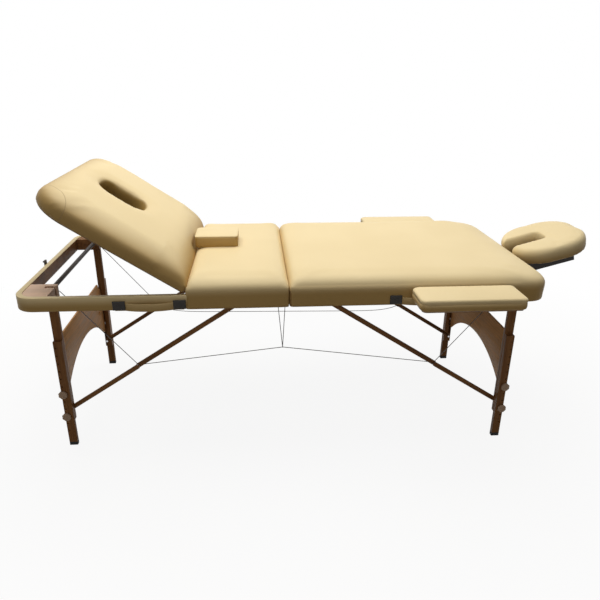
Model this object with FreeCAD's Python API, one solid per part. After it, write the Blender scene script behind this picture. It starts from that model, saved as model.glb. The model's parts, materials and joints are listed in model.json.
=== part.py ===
import FreeCAD, Part
import math
import os

V = FreeCAD.Vector

# Overall size of the open table, millimetres. X runs along the table, the face cradle is at +X.
HALF_LENGTH = 925.0
HALF_WIDTH = 400.0
RAIL_BOTTOM = 598.0
RAIL_HEIGHT = 50.0
RAIL_THICK = 20.0
RAIL_TOP = RAIL_BOTTOM + RAIL_HEIGHT
FOOT_CORNER = 70.0
HEAD_CORNER = 70.0
CREASE_GAP = 1.0
HINGE_RAIL_WIDTH = 40.0
DECK_THICK = 6.0
DECK_TOP = RAIL_TOP + DECK_THICK

# Cushions: sides drawn in at the foot, then an elliptic crown that reaches in over the top
CUSHION_HEIGHT = 48.0
BACK_CUSHION_HEIGHT = 70.0
SIDE_SHARE = 0.40
FOOT_INSET = 4.0
CROWN_REACH = 100.0
CROWN_STEPS = 9
SMALL_SIDE_SHARE = 0.56
SMALL_CROWN_REACH = 25.0
SMALL_CROWN_STEPS = 7
BOX_SIDE_SHARE = 0.66
BOX_CROWN_REACH = 13.0
BOX_CROWN_STEPS = 5
CUSHION_CORNER = 9.0
LEAST_CORNER = 7.0

# Centre section and hinged backrest
CENTRE_START = -350.0
BACK_BOARD_START = 5.0
BACK_AXIS_X = CENTRE_START - BACK_BOARD_START
BACK_AXIS_Z = RAIL_TOP + DECK_THICK / 2 + 0.3
BACK_TILT = 33.5
BACK_BOARD_THICK = 14.0
BACK_BOARD_INSET = 8.0
BACK_END = HALF_LENGTH - 4.0
BACK_CORNER = 115.0
BACK_END_SLOPE = 0.62
HOLE_PLACE = 352.0
HOLE_LENGTH = 176.0
HOLE_WIDTH = 150.0
HOLE_CORNER = 62.0
HOLE_FLARE = 13.0
PLUG_LENGTH = 168.0
PLUG_WIDTH = 142.0
PLUG_HEIGHT = 50.0
PLUG_X = -264.0
PLUG_Y = 36.0
PLUG_CORNER = 14.0

# Hinges
FOLD_DROP = 6.0
FOLD_Z = RAIL_BOTTOM - FOLD_DROP
FOLD_HINGE_Y = 230.0
FOLD_HINGE_LENGTH = 70.0
FOLD_KNUCKLE = 4.0
FOLD_PIN = 2.0
LEAF_THICK = 2.0
BACK_HINGE_Y = 200.0
BACK_HINGE_LENGTH = 60.0
BACK_LEAF_WIDTH = 26.0
BACK_KNUCKLE = 3.0
BACK_PIN = 1.5
RUN = 0.05
AXIAL_GAP = 0.4

# Legs
LEG_INSET = 95.0
LEG_X = HALF_LENGTH - LEG_INSET
LEG_HALF = 15.0
LEG_THICK = 16.0
LEG_PIVOT_DROP = 16.0
LEG_PIVOT_Z = RAIL_TOP - LEG_PIVOT_DROP
LEG_EDGE = 71.0
LEG_CENTRE_Y = HALF_WIDTH - LEG_EDGE
LEG_SHIFT = 26.0
AXLE_RADIUS = 8.0
BOLT_OFFSET = 8.0
BOLT_X = LEG_X + BOLT_OFFSET
BOLT_RADIUS = 3.0
BOLT_HEAD_RADIUS = 5.0
BOLT_HEAD_THICK = 3.4
KNOB_RADIUS = 14.5
KNOB_THICK = 9.0
KNOB_GAP = 0.3
BOLT_Z = 130.0
BOLT_PITCH = 96.0
HOLE_PITCH = 32.0
LEG_TRAVEL = 90.0
FOOT_HEIGHT = 14.0
UPPER_LEG_MARGIN = 24.0
LOWER_TOP = 443.0

# Arched panels between the legs
APRON_THICK = 7.5
APRON_TIP_Z = 184.0
APRON_TIP = 9.0
APRON_LEDGE = 21.0
APRON_SHOULDER = 34.0
APRON_TOP = 435.0
APRON_SIDE = 402.0
APRON_ARCH = 301.0
APRON_HOLE_RADIUS = 9.0
APRON_HOLE_INSET = 83.0
APRON_HOLE_Y = LEG_CENTRE_Y + LEG_SHIFT - APRON_HOLE_INSET
APRON_HOLE_Z = 303.0

# Folding struts
STRUT_TOP_X = 66.0
STRUT_OFFSET = 1.5
STRUT_FOOT_Z = 145.0
STRUT_HALF = 8.5
STRUT_THICK = 8.0
STRUT_GAP = 0.5
STRUT_PIN = 4.0
FOOT_PIN = 3.0
RIVET_RADIUS = 6.0
RIVET_THICK = 1.2
STRUT_BLOCK_HALF = 22.0
STRUT_BLOCK_DEPTH = 28.0
STRUT_BLOCK_WIDTH = 20.0

# Corner blocks that hold the leg axles
BLOCK_REACH = 18.0
BLOCK_INNER_X = LEG_X - BLOCK_REACH
BLOCK_DROP = 2.0
BLOCK_TOP = RAIL_TOP - BLOCK_DROP
BLOCK_SLOT_ROOM = 2.0
BLOCK_SLOT_END = LEG_X + LEG_HALF + BLOCK_SLOT_ROOM
BLOCK_SLOT_GAP = 0.5
BLOCK_CHEEK = 21.0
AXLE_END = 16.0

# Cables
CABLE_RADIUS = 1.3
CABLE_GAP = 0.4
CABLE_RISE = 22.0
CABLE_MIDDLE_X = -18.0
CABLE_SAG = 213.0
CABLE_MIDDLE_Z = RAIL_BOTTOM - CABLE_SAG
CABLE_V_LEFT = -38.0
CABLE_V_RIGHT = -6.0
CABLE_STOP = 8.0

# Carry handles
HANDLE_INNER_X = 372.0
HANDLE_SPAN = 201.0
HANDLE_OUTER_X = HANDLE_INNER_X + HANDLE_SPAN
HANDLE_CAP_HALF = 21.0
HANDLE_CAP_RISE = 3.0
HANDLE_CAP_HEIGHT = 32.0
HANDLE_CAP_LOW = RAIL_BOTTOM + HANDLE_CAP_RISE
HANDLE_CAP_HIGH = HANDLE_CAP_LOW + HANDLE_CAP_HEIGHT
HANDLE_CAP_THICK = 6.0
HANDLE_TAB = 3.0
HANDLE_BOW = 22.0
STRAP_THICK = 5.0
STRAP_DROP = 1.0
STRAP_HEIGHT = 27.0
STRAP_LOW = RAIL_BOTTOM - STRAP_DROP
STRAP_HIGH = STRAP_LOW + STRAP_HEIGHT

# Latch on the end rails
LATCH_Y0 = -40.0
LATCH_Y1 = 0.0
LATCH_RISE = 18.0
LATCH_Z = RAIL_BOTTOM + LATCH_RISE
LATCH_BASE_RISE = 14.0
LATCH_PLATE = 2.0
LATCH_KNUCKLE = 4.0
LATCH_PIN = 1.5
LATCH_EAR = 7.0
LATCH_LEVER = 41.0
LATCH_LIP = 4.0
KEEPER_HEIGHT = 24.0

# Side armrests
ARM_END_INSET = 153.0
ARM_LENGTH = 357.0
ARM_X1 = HALF_LENGTH - ARM_END_INSET
ARM_X0 = ARM_X1 - ARM_LENGTH
ARM_GAP = 28.0
ARM_WIDTH = 134.0
ARM_INNER = HALF_WIDTH + ARM_GAP
ARM_OUTER = ARM_INNER + ARM_WIDTH
ARM_RISE = 30.0
ARM_BASE_LOW = RAIL_BOTTOM + ARM_RISE
ARM_BASE_THICK = 12.0
ARM_PAD_HEIGHT = 37.0
ARM_CORNER = 24.0
ARM_HEAD_CORNER = 13.0
ARM_BASE_INSET = 9.0
ARM_PEG_RADIUS = 5.0
ARM_PEG_INSET = 83.5
ARM_PEG_X0 = ARM_X0 + ARM_PEG_INSET
ARM_PEG_X1 = ARM_X1 - ARM_PEG_INSET
ARM_PEG_SHARE = 0.45
ARM_PEG_REACH = 26.0
ARM_PEG_END = HALF_WIDTH - ARM_PEG_REACH

# Face cradle, drawn level and then tilted
CRADLE_TILT = 15.0
CRADLE_GAP = 33.0
CRADLE_PIVOT_X = HALF_LENGTH + CRADLE_GAP
CRADLE_PIVOT_RISE = 22.0
CRADLE_PIVOT_Z = RAIL_BOTTOM + CRADLE_PIVOT_RISE
CRADLE_PIN = 4.0
CRADLE_BAR_THICK = 14.0
CRADLE_BAR_GAP = 9.0
CRADLE_BAR_X0 = HALF_LENGTH + CRADLE_BAR_GAP
CRADLE_BAR_X1 = CRADLE_BAR_X0 + CRADLE_BAR_THICK
CRADLE_BAR_HALF = 105.0
CRADLE_BAR_RISE = 8.0
CRADLE_BAR_HEIGHT = 26.0
CRADLE_BAR_LOW = RAIL_BOTTOM + CRADLE_BAR_RISE
CRADLE_BAR_HIGH = CRADLE_BAR_LOW + CRADLE_BAR_HEIGHT
CRADLE_PEG_Y = 92.0
CRADLE_PEG_RISE = 21.0
CRADLE_PEG_Z = RAIL_BOTTOM + CRADLE_PEG_RISE
CRADLE_PEG_RADIUS = 8.0
CRADLE_PEG_REACH = 47.0
CRADLE_PEG_END = HALF_LENGTH - CRADLE_PEG_REACH
CRADLE_LUG_Y = 64.0
CRADLE_LUG_THICK = 8.0
CRADLE_EAR_THICK = 11.0
CRADLE_EAR_REACH = 67.0
CRADLE_ROUND = 9.0
CRADLE_PLATE_THICK = 10.0
CRADLE_PLATE_START = 27.0
CRADLE_PLATE_LENGTH = 237.0
CRADLE_PLATE_X0 = CRADLE_PIVOT_X + CRADLE_PLATE_START
CRADLE_PLATE_X1 = CRADLE_PLATE_X0 + CRADLE_PLATE_LENGTH
CRADLE_PLATE_HALF = 112.0
CRADLE_PLATE_CORNER = 88.0
CRADLE_ARM_START = 14.0
CRADLE_ARM_LENGTH = 191.0
CRADLE_ARM_X1 = CRADLE_PLATE_X0 + CRADLE_ARM_LENGTH
CRADLE_ARM_Y0 = 88.0
CRADLE_ARM_Y1 = 106.0
CRADLE_ARM_DEPTH = 28.0
CRADLE_PAD_BACK = 9.0
CRADLE_PAD_HALF_X = 151.0
CRADLE_PAD_X = CRADLE_PIVOT_X - CRADLE_PAD_BACK + CRADLE_PAD_HALF_X
CRADLE_PAD_HALF_Y = 162.0
CRADLE_PAD_HEIGHT = 66.0
CRADLE_PAD_CORNER = 128.0
CRADLE_SLOT_HALF = 40.0
CRADLE_SLOT_BACK = 6.0
CRADLE_SLOT_END = CRADLE_PAD_X - CRADLE_SLOT_BACK
CRADLE_SLOT_RUN = 60.0
CRADLE_SLOT_DEPTH = 30.0
CRADLE_SLOT_CORNER = 12.0
CRADLE_SLOT_FLARE = 8.0


def box(x0, x1, y0, y1, z0, z1):
    low_x, high_x = min(x0, x1), max(x0, x1)
    low_y, high_y = min(y0, y1), max(y0, y1)
    return Part.makeBox(high_x - low_x, high_y - low_y, z1 - z0, V(low_x, low_y, z0))


def rod(start, end, radius):
    way = V(*end) - V(*start)
    return Part.makeCylinder(radius, way.Length, V(*start), way)


def rod_y(x, z, y0, y1, radius):
    return rod((x, min(y0, y1), z), (x, max(y0, y1), z), radius)


def outline(x0, x1, y0, y1, z, radii):
    corners = ((x0, y0), (x1, y0), (x1, y1), (x0, y1))
    ways = ((0, -1), (1, 0), (0, 1), (-1, 0))
    ends = []
    for number, (cx, cy) in enumerate(corners):
        radius = radii[number]
        way_in = ways[number]
        way_out = ways[(number + 1) % 4]
        first = V(cx - radius * way_in[0], cy - radius * way_in[1], z)
        last = V(cx + radius * way_out[0], cy + radius * way_out[1], z)
        reach = radius / math.sqrt(2)
        middle = V(cx + (radius - reach) * (way_out[0] - way_in[0]),
                   cy + (radius - reach) * (way_out[1] - way_in[1]), z)
        ends.append((first, middle, last))
    edges = []
    for number, (first, middle, last) in enumerate(ends):
        edges.append(Part.Arc(first, middle, last).toShape())
        edges.append(Part.makeLine(last, ends[(number + 1) % 4][0]))
    return Part.Wire(edges)


def slab(x0, x1, y0, y1, z0, z1, radii):
    return Part.Face(outline(x0, x1, y0, y1, z0, radii)).extrude(V(0, 0, z1 - z0))


def shrunk(radii, inset):
    return [max(radius - inset, LEAST_CORNER) for radius in radii]


def pad_form(side_share, reach, steps):
    form = [(0.0, FOOT_INSET), (0.4 * side_share, 0.35 * FOOT_INSET)]
    for number in range(steps + 1):
        angle = math.radians(90.0 * number / steps)
        form.append((side_share + (1 - side_share) * math.sin(angle), reach * (1 - math.cos(angle))))
    return form


def pad(x0, x1, y0, y1, z0, height, radii, form, slope=0.0):
    wires = []
    for share, inset in form:
        rise = share * height
        wires.append(outline(x0 + inset, x1 - inset - slope * rise, y0 + inset, y1 - inset,
                             z0 + rise, shrunk(radii, inset)))
    return Part.makeLoft(wires, True, True)


def flared(x0, x1, y0, y1, z0, z1, z2, radii, flare):
    levels = ((z0, 0.0), (z1, 0.0), (z1 + 0.55 * (z2 - z1), 0.3 * flare), (z2, flare))
    wires = []
    for z, grow in levels:
        wires.append(outline(x0 - grow, x1 + grow, y0 - grow, y1 + grow, z,
                             [radius + grow for radius in radii]))
    return Part.makeLoft(wires, True, True)


def bar(start, end, half, y0, y1):
    sx, sz = start
    ex, ez = end
    length = math.hypot(ex - sx, ez - sz)
    dx, dz = (ex - sx) / length * half, (ez - sz) / length * half
    y = min(y0, y1)
    a = V(sx - dz, y, sz + dx)
    b = V(ex - dz, y, ez + dx)
    c = V(ex + dz, y, ez - dx)
    d = V(sx + dz, y, sz - dx)
    edges = [Part.makeLine(a, b), Part.Arc(b, V(ex + dx, y, ez + dz), c).toShape(),
             Part.makeLine(c, d), Part.Arc(d, V(sx - dx, y, sz - dz), a).toShape()]
    return Part.Face(Part.Wire(edges)).extrude(V(0, abs(y1 - y0), 0))


def joined(shapes):
    whole = shapes[0]
    for shape in shapes[1:]:
        whole = whole.fuse(shape)
    return whole.removeSplitter()


def group(shapes):
    solids = []
    for shape in shapes:
        solids.extend(shape.Solids)
    return Part.makeCompound(solids)


def turned(shape, x, z, degrees):
    copy = shape.copy()
    copy.rotate(V(x, 0, z), V(0, 1, 0), degrees)
    return copy


parts = {}
PAD_FORM = pad_form(SIDE_SHARE, CROWN_REACH, CROWN_STEPS)
SMALL_FORM = pad_form(SMALL_SIDE_SHARE, SMALL_CROWN_REACH, SMALL_CROWN_STEPS)
BOX_FORM = pad_form(BOX_SIDE_SHARE, BOX_CROWN_REACH, BOX_CROWN_STEPS)

# Strut triangle: both bars lie straight when the legs hang, and fold flat against the legs
strut_foot_x = LEG_X - STRUT_OFFSET
strut_top_z = LEG_PIVOT_Z + STRUT_OFFSET
strut_dx = strut_foot_x - STRUT_TOP_X
strut_dz = strut_top_z - STRUT_FOOT_Z
strut_reach = math.hypot(strut_dx, strut_dz)
strut_folded = LEG_X - (LEG_PIVOT_Z - STRUT_FOOT_Z) - STRUT_TOP_X
upper_length = (strut_reach + strut_folded) / 2
knee_x = STRUT_TOP_X + upper_length * strut_dx / strut_reach
knee_z = strut_top_z - upper_length * strut_dz / strut_reach

# Layers across the table, measured inward from the middle of a lower leg
upper_leg_in = LEG_THICK / 2
upper_leg_out = upper_leg_in + LEG_THICK
lower_strut_in = upper_leg_out + STRUT_GAP
lower_strut_out = lower_strut_in + STRUT_THICK
upper_strut_in = lower_strut_out + STRUT_GAP
upper_strut_out = upper_strut_in + STRUT_THICK
strut_block_in = upper_strut_out + STRUT_GAP
strut_block_out = strut_block_in + STRUT_BLOCK_WIDTH
rivet_out = upper_strut_out + RIVET_THICK
cable_place = rivet_out + CABLE_GAP + CABLE_RADIUS


# Frame ring of one half: two side rails and a U-shaped end rail
def frame(sign, corner):
    x_end = HALF_LENGTH
    inner = max(corner - RAIL_THICK, LEAST_CORNER)
    outer_plan = slab(-x_end, -CREASE_GAP, -HALF_WIDTH, HALF_WIDTH, RAIL_BOTTOM, RAIL_TOP,
                      (corner, 0.01, 0.01, corner))
    inner_plan = slab(-x_end + RAIL_THICK, 0, -HALF_WIDTH + RAIL_THICK, HALF_WIDTH - RAIL_THICK,
                      RAIL_BOTTOM, RAIL_TOP, (inner, 0.01, 0.01, inner))
    ring = outer_plan.cut(inner_plan)
    split = x_end - corner
    ends = ring.common(box(-x_end - 1, -split, -HALF_WIDTH, HALF_WIDTH, RAIL_BOTTOM, RAIL_TOP))
    sides = []
    for side in (-1, 1):
        sides.append(box(-split, -CREASE_GAP, side * HALF_WIDTH, side * (HALF_WIDTH - RAIL_THICK),
                         RAIL_BOTTOM, RAIL_TOP))
    hinge_rail = box(-CREASE_GAP - HINGE_RAIL_WIDTH, -CREASE_GAP, -HALF_WIDTH + RAIL_THICK,
                     HALF_WIDTH - RAIL_THICK, RAIL_BOTTOM, RAIL_TOP)
    shapes = [ends, sides[0], sides[1], hinge_rail, inner_plan]
    if sign > 0:
        shapes = [shape.mirror(V(0, 0, 0), V(1, 0, 0)) for shape in shapes]
    return shapes


# Blocks of one half: corner blocks around the leg tops, strut blocks under the deck
def blocks(sign, shift, room):
    shapes = []
    for side in (-1, 1):
        centre = side * LEG_CENTRE_Y + shift
        slot_low = centre - side * (upper_leg_in - BLOCK_SLOT_GAP)
        slot_high = centre - side * (upper_leg_out + BLOCK_SLOT_GAP)
        cheek = slot_high - side * BLOCK_CHEEK
        block = box(sign * BLOCK_INNER_X, sign * HALF_LENGTH, side * HALF_WIDTH, cheek,
                    RAIL_BOTTOM, BLOCK_TOP)
        block = block.common(room)
        block = block.cut(box(sign * (BLOCK_INNER_X - 1), sign * BLOCK_SLOT_END, slot_low, slot_high,
                              RAIL_BOTTOM - 1, BLOCK_TOP + 1))
        far_end = centre + side * AXLE_END
        block = block.cut(rod_y(sign * LEG_X, LEG_PIVOT_Z, far_end, cheek - side, AXLE_RADIUS + RUN))
        shapes.append(block)
        strut_block = box(sign * (STRUT_TOP_X - STRUT_BLOCK_HALF), sign * (STRUT_TOP_X + STRUT_BLOCK_HALF),
                          centre - side * strut_block_in, centre - side * strut_block_out,
                          RAIL_TOP - STRUT_BLOCK_DEPTH, RAIL_TOP)
        pin = rod_y(sign * STRUT_TOP_X, strut_top_z, centre - side * (upper_strut_in - 0.2),
                    centre - side * (strut_block_in + 8), STRUT_PIN)
        shapes.append(joined([strut_block, pin]))
    return shapes


# Butt hinge leaf with its own knuckles; x1 is the side that the plate lies on
def leaf(axis_x, axis_z, plate_x, plate_end, plate_low, plate_high, middle, length, knuckle, pin,
         first, with_pin):
    count = 5
    step = length / count
    shapes = [box(plate_x, plate_end, middle - length / 2, middle + length / 2, plate_low, plate_high)]
    bores = []
    for number in range(first, count, 2):
        y0 = middle - length / 2 + number * step + AXIAL_GAP
        y1 = middle - length / 2 + (number + 1) * step - AXIAL_GAP
        shapes.append(rod_y(axis_x, axis_z, y0, y1, knuckle))
        web_start = axis_x + 0.25 * (plate_x - axis_x)
        shapes.append(box(web_start, plate_x, y0, y1, min(plate_low, axis_z), max(plate_high, axis_z)))
        bores.append(rod_y(axis_x, axis_z, y0 - 1, y1 + 1, pin + RUN))
    whole = joined(shapes)
    if with_pin:
        return joined([whole, rod_y(axis_x, axis_z, middle - length / 2, middle + length / 2, pin)])
    for bore in bores:
        whole = whole.cut(bore)
    return whole


# Carry handle on the near rail of one half
def handle(sign):
    face = -HALF_WIDTH
    inner_x = sign * HANDLE_INNER_X
    outer_x = sign * HANDLE_OUTER_X
    inner_edge = sign * (HANDLE_INNER_X + HANDLE_CAP_HALF)
    outer_edge = sign * (HANDLE_OUTER_X - HANDLE_CAP_HALF)
    middle = (inner_edge + outer_edge) / 2
    back = face
    front = face - HANDLE_TAB
    a = V(inner_edge, back, STRAP_LOW)
    b = V(middle, back - HANDLE_BOW + STRAP_THICK - HANDLE_TAB, STRAP_LOW)
    c = V(outer_edge, back, STRAP_LOW)
    d = V(outer_edge, front, STRAP_LOW)
    e = V(middle, back - HANDLE_BOW - HANDLE_TAB, STRAP_LOW)
    f = V(inner_edge, front, STRAP_LOW)
    edges = [Part.Arc(a, b, c).toShape(), Part.makeLine(c, d), Part.Arc(d, e, f).toShape(),
             Part.makeLine(f, a)]
    bow = Part.Face(Part.Wire(edges)).extrude(V(0, 0, STRAP_HIGH - STRAP_LOW))
    pieces = [bow]
    caps = []
    for place, edge in ((inner_x, inner_edge), (outer_x, outer_edge)):
        away = 2 * place - edge
        tab_end = edge + 0.85 * (away - edge)
        pieces.append(box(edge, tab_end, back, front, STRAP_LOW, STRAP_HIGH))
        cap = box(edge, away, front, front - HANDLE_CAP_THICK, HANDLE_CAP_LOW, HANDLE_CAP_HIGH)
        cap = cap.makeChamfer(1.6, [edge_line for edge_line in cap.Edges
                                    if max(vertex.Y for vertex in edge_line.Vertexes) < front - 1])
        foot_x = tab_end + 0.02 * (away - tab_end)
        cap = joined([cap, box(foot_x, away, back, front, HANDLE_CAP_LOW + 2, HANDLE_CAP_HIGH - 2)])
        middle_z = (HANDLE_CAP_LOW + HANDLE_CAP_HIGH) / 2
        head = rod((place, front - HANDLE_CAP_THICK, middle_z),
                   (place, front - HANDLE_CAP_THICK - 2, middle_z), 5.0)
        caps.append(cap)
        caps.append(head)
    return joined(pieces), group(caps)


# One leg set: upper legs, axle, panel, lower legs, knobs and struts
def leg_set(sign, shift):
    out = {}
    uppers = []
    pins = []
    upper_struts = []
    lower_struts = []
    upper_end = BOLT_Z - UPPER_LEG_MARGIN
    x = sign * LEG_X
    bolt_x = sign * BOLT_X
    bolts = (BOLT_Z, BOLT_Z + BOLT_PITCH)
    for side, word in ((-1, "near"), (1, "far")):
        centre = side * LEG_CENTRE_Y + shift
        y_in = centre - side * upper_leg_in
        y_out = centre - side * upper_leg_out
        shaft = box(x - LEG_HALF, x + LEG_HALF, y_in, y_out, upper_end, LEG_PIVOT_Z)
        upper = joined([shaft, rod_y(x, LEG_PIVOT_Z, y_in, y_out, LEG_HALF)])
        upper = upper.cut(rod_y(x, LEG_PIVOT_Z, y_in + side, y_out - side, AXLE_RADIUS))
        slot_half = BOLT_RADIUS + 0.2
        slot_low = (bolt_x, bolts[0] - 0.3)
        slot_high = (bolt_x, bolts[1] + LEG_TRAVEL + 0.3)
        upper = upper.cut(bar(slot_low, slot_high, slot_half, y_in + side, y_out - side))
        groove_half = BOLT_HEAD_RADIUS + 0.3
        groove = y_out + side * (BOLT_HEAD_THICK + 0.6)
        upper = upper.cut(bar(slot_low, slot_high, groove_half, groove, y_out - side))
        foot_x = sign * strut_foot_x
        upper = upper.cut(rod_y(foot_x, STRUT_FOOT_Z, y_in + side, y_out - side, FOOT_PIN + RUN))
        uppers.append(upper)
        foot_z = FOOT_HEIGHT
        outer = centre + side * LEG_THICK / 2
        lower = box(x - LEG_HALF, x + LEG_HALF, outer, y_in, foot_z, LOWER_TOP)
        row = bolts[0] - 2 * HOLE_PITCH
        while row < LOWER_TOP - HOLE_PITCH / 2:
            if row > foot_z + HOLE_PITCH / 4:
                lower = lower.cut(rod_y(bolt_x, row, outer + side, y_in - side, BOLT_RADIUS + RUN))
            row += HOLE_PITCH
        tip = box(x - LEG_HALF, x + LEG_HALF, outer, y_in, 0, foot_z)
        out["lower_leg_" + word] = group([lower, tip])
        for level, place in (("lower", bolts[0]), ("upper", bolts[1])):
            face = outer + side * KNOB_GAP
            disc = rod_y(bolt_x, place, face, face + side * KNOB_THICK, KNOB_RADIUS)
            disc = disc.makeChamfer(1.8, [edge for edge in disc.Edges
                                          if len(edge.Vertexes) == 1
                                          and abs(edge.Vertexes[0].Y - (face + side * KNOB_THICK)) < 0.01])
            stem = rod_y(bolt_x, place, face, y_out + side * 0.2, BOLT_RADIUS)
            head = rod_y(bolt_x, place, y_out + side * 0.2, y_out + side * (0.2 + BOLT_HEAD_THICK),
                         BOLT_HEAD_RADIUS)
            out["knob_%s_%s" % (word, level)] = group([disc, joined([stem, head])])
        low_in = centre - side * lower_strut_in
        low_out = centre - side * lower_strut_out
        high_in = centre - side * upper_strut_in
        high_out = centre - side * upper_strut_out
        knee = (sign * knee_x, knee_z)
        lower_bar = bar((foot_x, STRUT_FOOT_Z), knee, STRUT_HALF, low_in, low_out)
        pin = rod_y(foot_x, STRUT_FOOT_Z, y_in - side * 5, low_out, FOOT_PIN)
        lower_struts.append(lower_bar.cut(pin))
        lower_struts.append(pin)
        upper_bar = bar((sign * STRUT_TOP_X, strut_top_z), knee, STRUT_HALF, high_in, high_out)
        upper_bar = upper_bar.cut(rod_y(sign * STRUT_TOP_X, strut_top_z, high_in + side, high_out - side,
                                        STRUT_PIN + RUN))
        rivet = rod_y(knee[0], knee[1], high_out, centre - side * rivet_out, RIVET_RADIUS)
        upper_struts.append(upper_bar)
        upper_struts.append(rivet)
    out["upper_legs"] = group(uppers)
    near_end = -LEG_CENTRE_Y + shift - AXLE_END + 1
    far_end = LEG_CENTRE_Y + shift + AXLE_END - 1
    out["axle"] = rod_y(x, LEG_PIVOT_Z, near_end, far_end, AXLE_RADIUS)
    out["upper_struts"] = group(upper_struts)
    out["lower_struts"] = group(lower_struts)
    y0 = -LEG_CENTRE_Y + shift + upper_leg_out
    y1 = LEG_CENTRE_Y + shift - upper_leg_out
    middle = (y0 + y1) / 2
    face_x = sign * (LEG_X + LEG_HALF - APRON_THICK)
    points = []
    for end, way in ((y0, 1), (y1, -1)):
        points.append([V(face_x, end + way * APRON_TIP, APRON_TIP_Z), V(face_x, end, APRON_TIP_Z),
                       V(face_x, end, APRON_SIDE), V(face_x, end + way * APRON_LEDGE, APRON_SIDE),
                       V(face_x, end + way * APRON_SHOULDER, APRON_TOP)])
    edges = []
    for row in points:
        for number in range(3):
            edges.append(Part.makeLine(row[number], row[number + 1]))
        bend = V(face_x, 0.3 * row[3].y + 0.7 * row[4].y, 0.18 * APRON_SIDE + 0.82 * APRON_TOP)
        edges.append(Part.Arc(row[3], bend, row[4]).toShape())
    edges.append(Part.makeLine(points[0][4], points[1][4]))
    edges.append(Part.Arc(points[1][0], V(face_x, middle, APRON_ARCH), points[0][0]).toShape())
    out["apron"] = Part.Face(Part.Wire(Part.sortEdges(edges)[0])).extrude(V(sign * APRON_THICK, 0, 0))
    return out


# Left half: centre section, open frame under the backrest
left_end, left_near, left_far, left_cross, left_room = frame(-1, FOOT_CORNER)
parts["left_side_rails"] = group([left_near, left_far])
parts["left_end_rail"] = left_end
parts["left_hinge_rail"] = left_cross
parts["left_pivot_blocks"] = group(blocks(-1, LEG_SHIFT, left_room))
centre_radii = (CUSHION_CORNER,) * 4
parts["centre_deck"] = slab(CENTRE_START, -1.5 * CREASE_GAP, -HALF_WIDTH, HALF_WIDTH, RAIL_TOP, DECK_TOP,
                            centre_radii)
parts["centre_cushion"] = pad(CENTRE_START, -1.5 * CREASE_GAP, -HALF_WIDTH, HALF_WIDTH, DECK_TOP,
                              CUSHION_HEIGHT, centre_radii, PAD_FORM)
strap, caps = handle(-1)
parts["left_handle_strap"] = strap
parts["left_handle_caps"] = caps

# Right half: main section
right_end, right_near, right_far, right_cross, right_room = frame(1, HEAD_CORNER)
arm_peg_z = ARM_BASE_LOW + ARM_BASE_THICK / 2
for place in (ARM_PEG_X0, ARM_PEG_X1):
    bore = rod_y(place, arm_peg_z, -HALF_WIDTH - 1, -HALF_WIDTH + RAIL_THICK + 1, ARM_PEG_RADIUS + RUN)
    right_near = right_near.cut(bore)
    bore = rod_y(place, arm_peg_z, HALF_WIDTH - RAIL_THICK - 1, HALF_WIDTH + 1, ARM_PEG_RADIUS + RUN)
    right_far = right_far.cut(bore)
for side in (-1, 1):
    bore = rod((HALF_LENGTH - RAIL_THICK - 1, side * CRADLE_PEG_Y, CRADLE_PEG_Z),
               (HALF_LENGTH + 1, side * CRADLE_PEG_Y, CRADLE_PEG_Z), CRADLE_PEG_RADIUS + RUN)
    right_end = right_end.cut(bore)
parts["right_side_rails"] = group([right_near, right_far])
parts["right_end_rail"] = right_end
parts["right_hinge_rail"] = right_cross
parts["right_pivot_blocks"] = group(blocks(1, -LEG_SHIFT, right_room))
main_radii = (CUSHION_CORNER, HEAD_CORNER, HEAD_CORNER, CUSHION_CORNER)
parts["main_deck"] = slab(1.5 * CREASE_GAP, HALF_LENGTH, -HALF_WIDTH, HALF_WIDTH, RAIL_TOP, DECK_TOP,
                          main_radii)
parts["main_cushion"] = pad(1.5 * CREASE_GAP, HALF_LENGTH, -HALF_WIDTH, HALF_WIDTH, DECK_TOP,
                            CUSHION_HEIGHT, main_radii, PAD_FORM)
strap, caps = handle(1)
parts["right_handle_strap"] = strap
parts["right_handle_caps"] = caps

# Fold hinges under the crease
leaf_room = FOLD_KNUCKLE + 0.5
leaf_end = 0.55 * HINGE_RAIL_WIDTH
leaf_low = RAIL_BOTTOM - LEAF_THICK
left_leaves = []
right_leaves = []
for side in (-1, 1):
    left_leaves.append(leaf(0, FOLD_Z, -leaf_room, -leaf_end, leaf_low, RAIL_BOTTOM, side * FOLD_HINGE_Y,
                            FOLD_HINGE_LENGTH, FOLD_KNUCKLE, FOLD_PIN, 0, True))
    right_leaves.append(leaf(0, FOLD_Z, leaf_room, leaf_end, leaf_low, RAIL_BOTTOM, side * FOLD_HINGE_Y,
                             FOLD_HINGE_LENGTH, FOLD_KNUCKLE, FOLD_PIN, 1, False))
parts["left_hinge_leaves"] = group(left_leaves)
parts["right_hinge_leaves"] = group(right_leaves)

# Backrest, drawn level on the rails and then tilted about its hinge
board_low = BACK_AXIS_Z - DECK_THICK / 2
board_high = board_low + BACK_BOARD_THICK
board_start = BACK_AXIS_X - BACK_BOARD_START
back_radii = (BACK_CORNER, CUSHION_CORNER, CUSHION_CORNER, BACK_CORNER)
back_top = board_high + BACK_CUSHION_HEIGHT
hole_x = BACK_AXIS_X - HOLE_PLACE
hole_radii = (HOLE_CORNER,) * 4
flare_low = back_top - 0.45 * BACK_CUSHION_HEIGHT
breath_hole = flared(hole_x - HOLE_LENGTH / 2, hole_x + HOLE_LENGTH / 2, -HOLE_WIDTH / 2, HOLE_WIDTH / 2,
                     board_low - 5, flare_low, back_top + 1, hole_radii, HOLE_FLARE)
board_half = HALF_WIDTH - BACK_BOARD_INSET
board = slab(-BACK_END + BACK_BOARD_INSET, board_start, -board_half, board_half, board_low, board_high,
             back_radii).cut(breath_hole)
parts["backrest_board"] = turned(board, BACK_AXIS_X, BACK_AXIS_Z, BACK_TILT)
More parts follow.
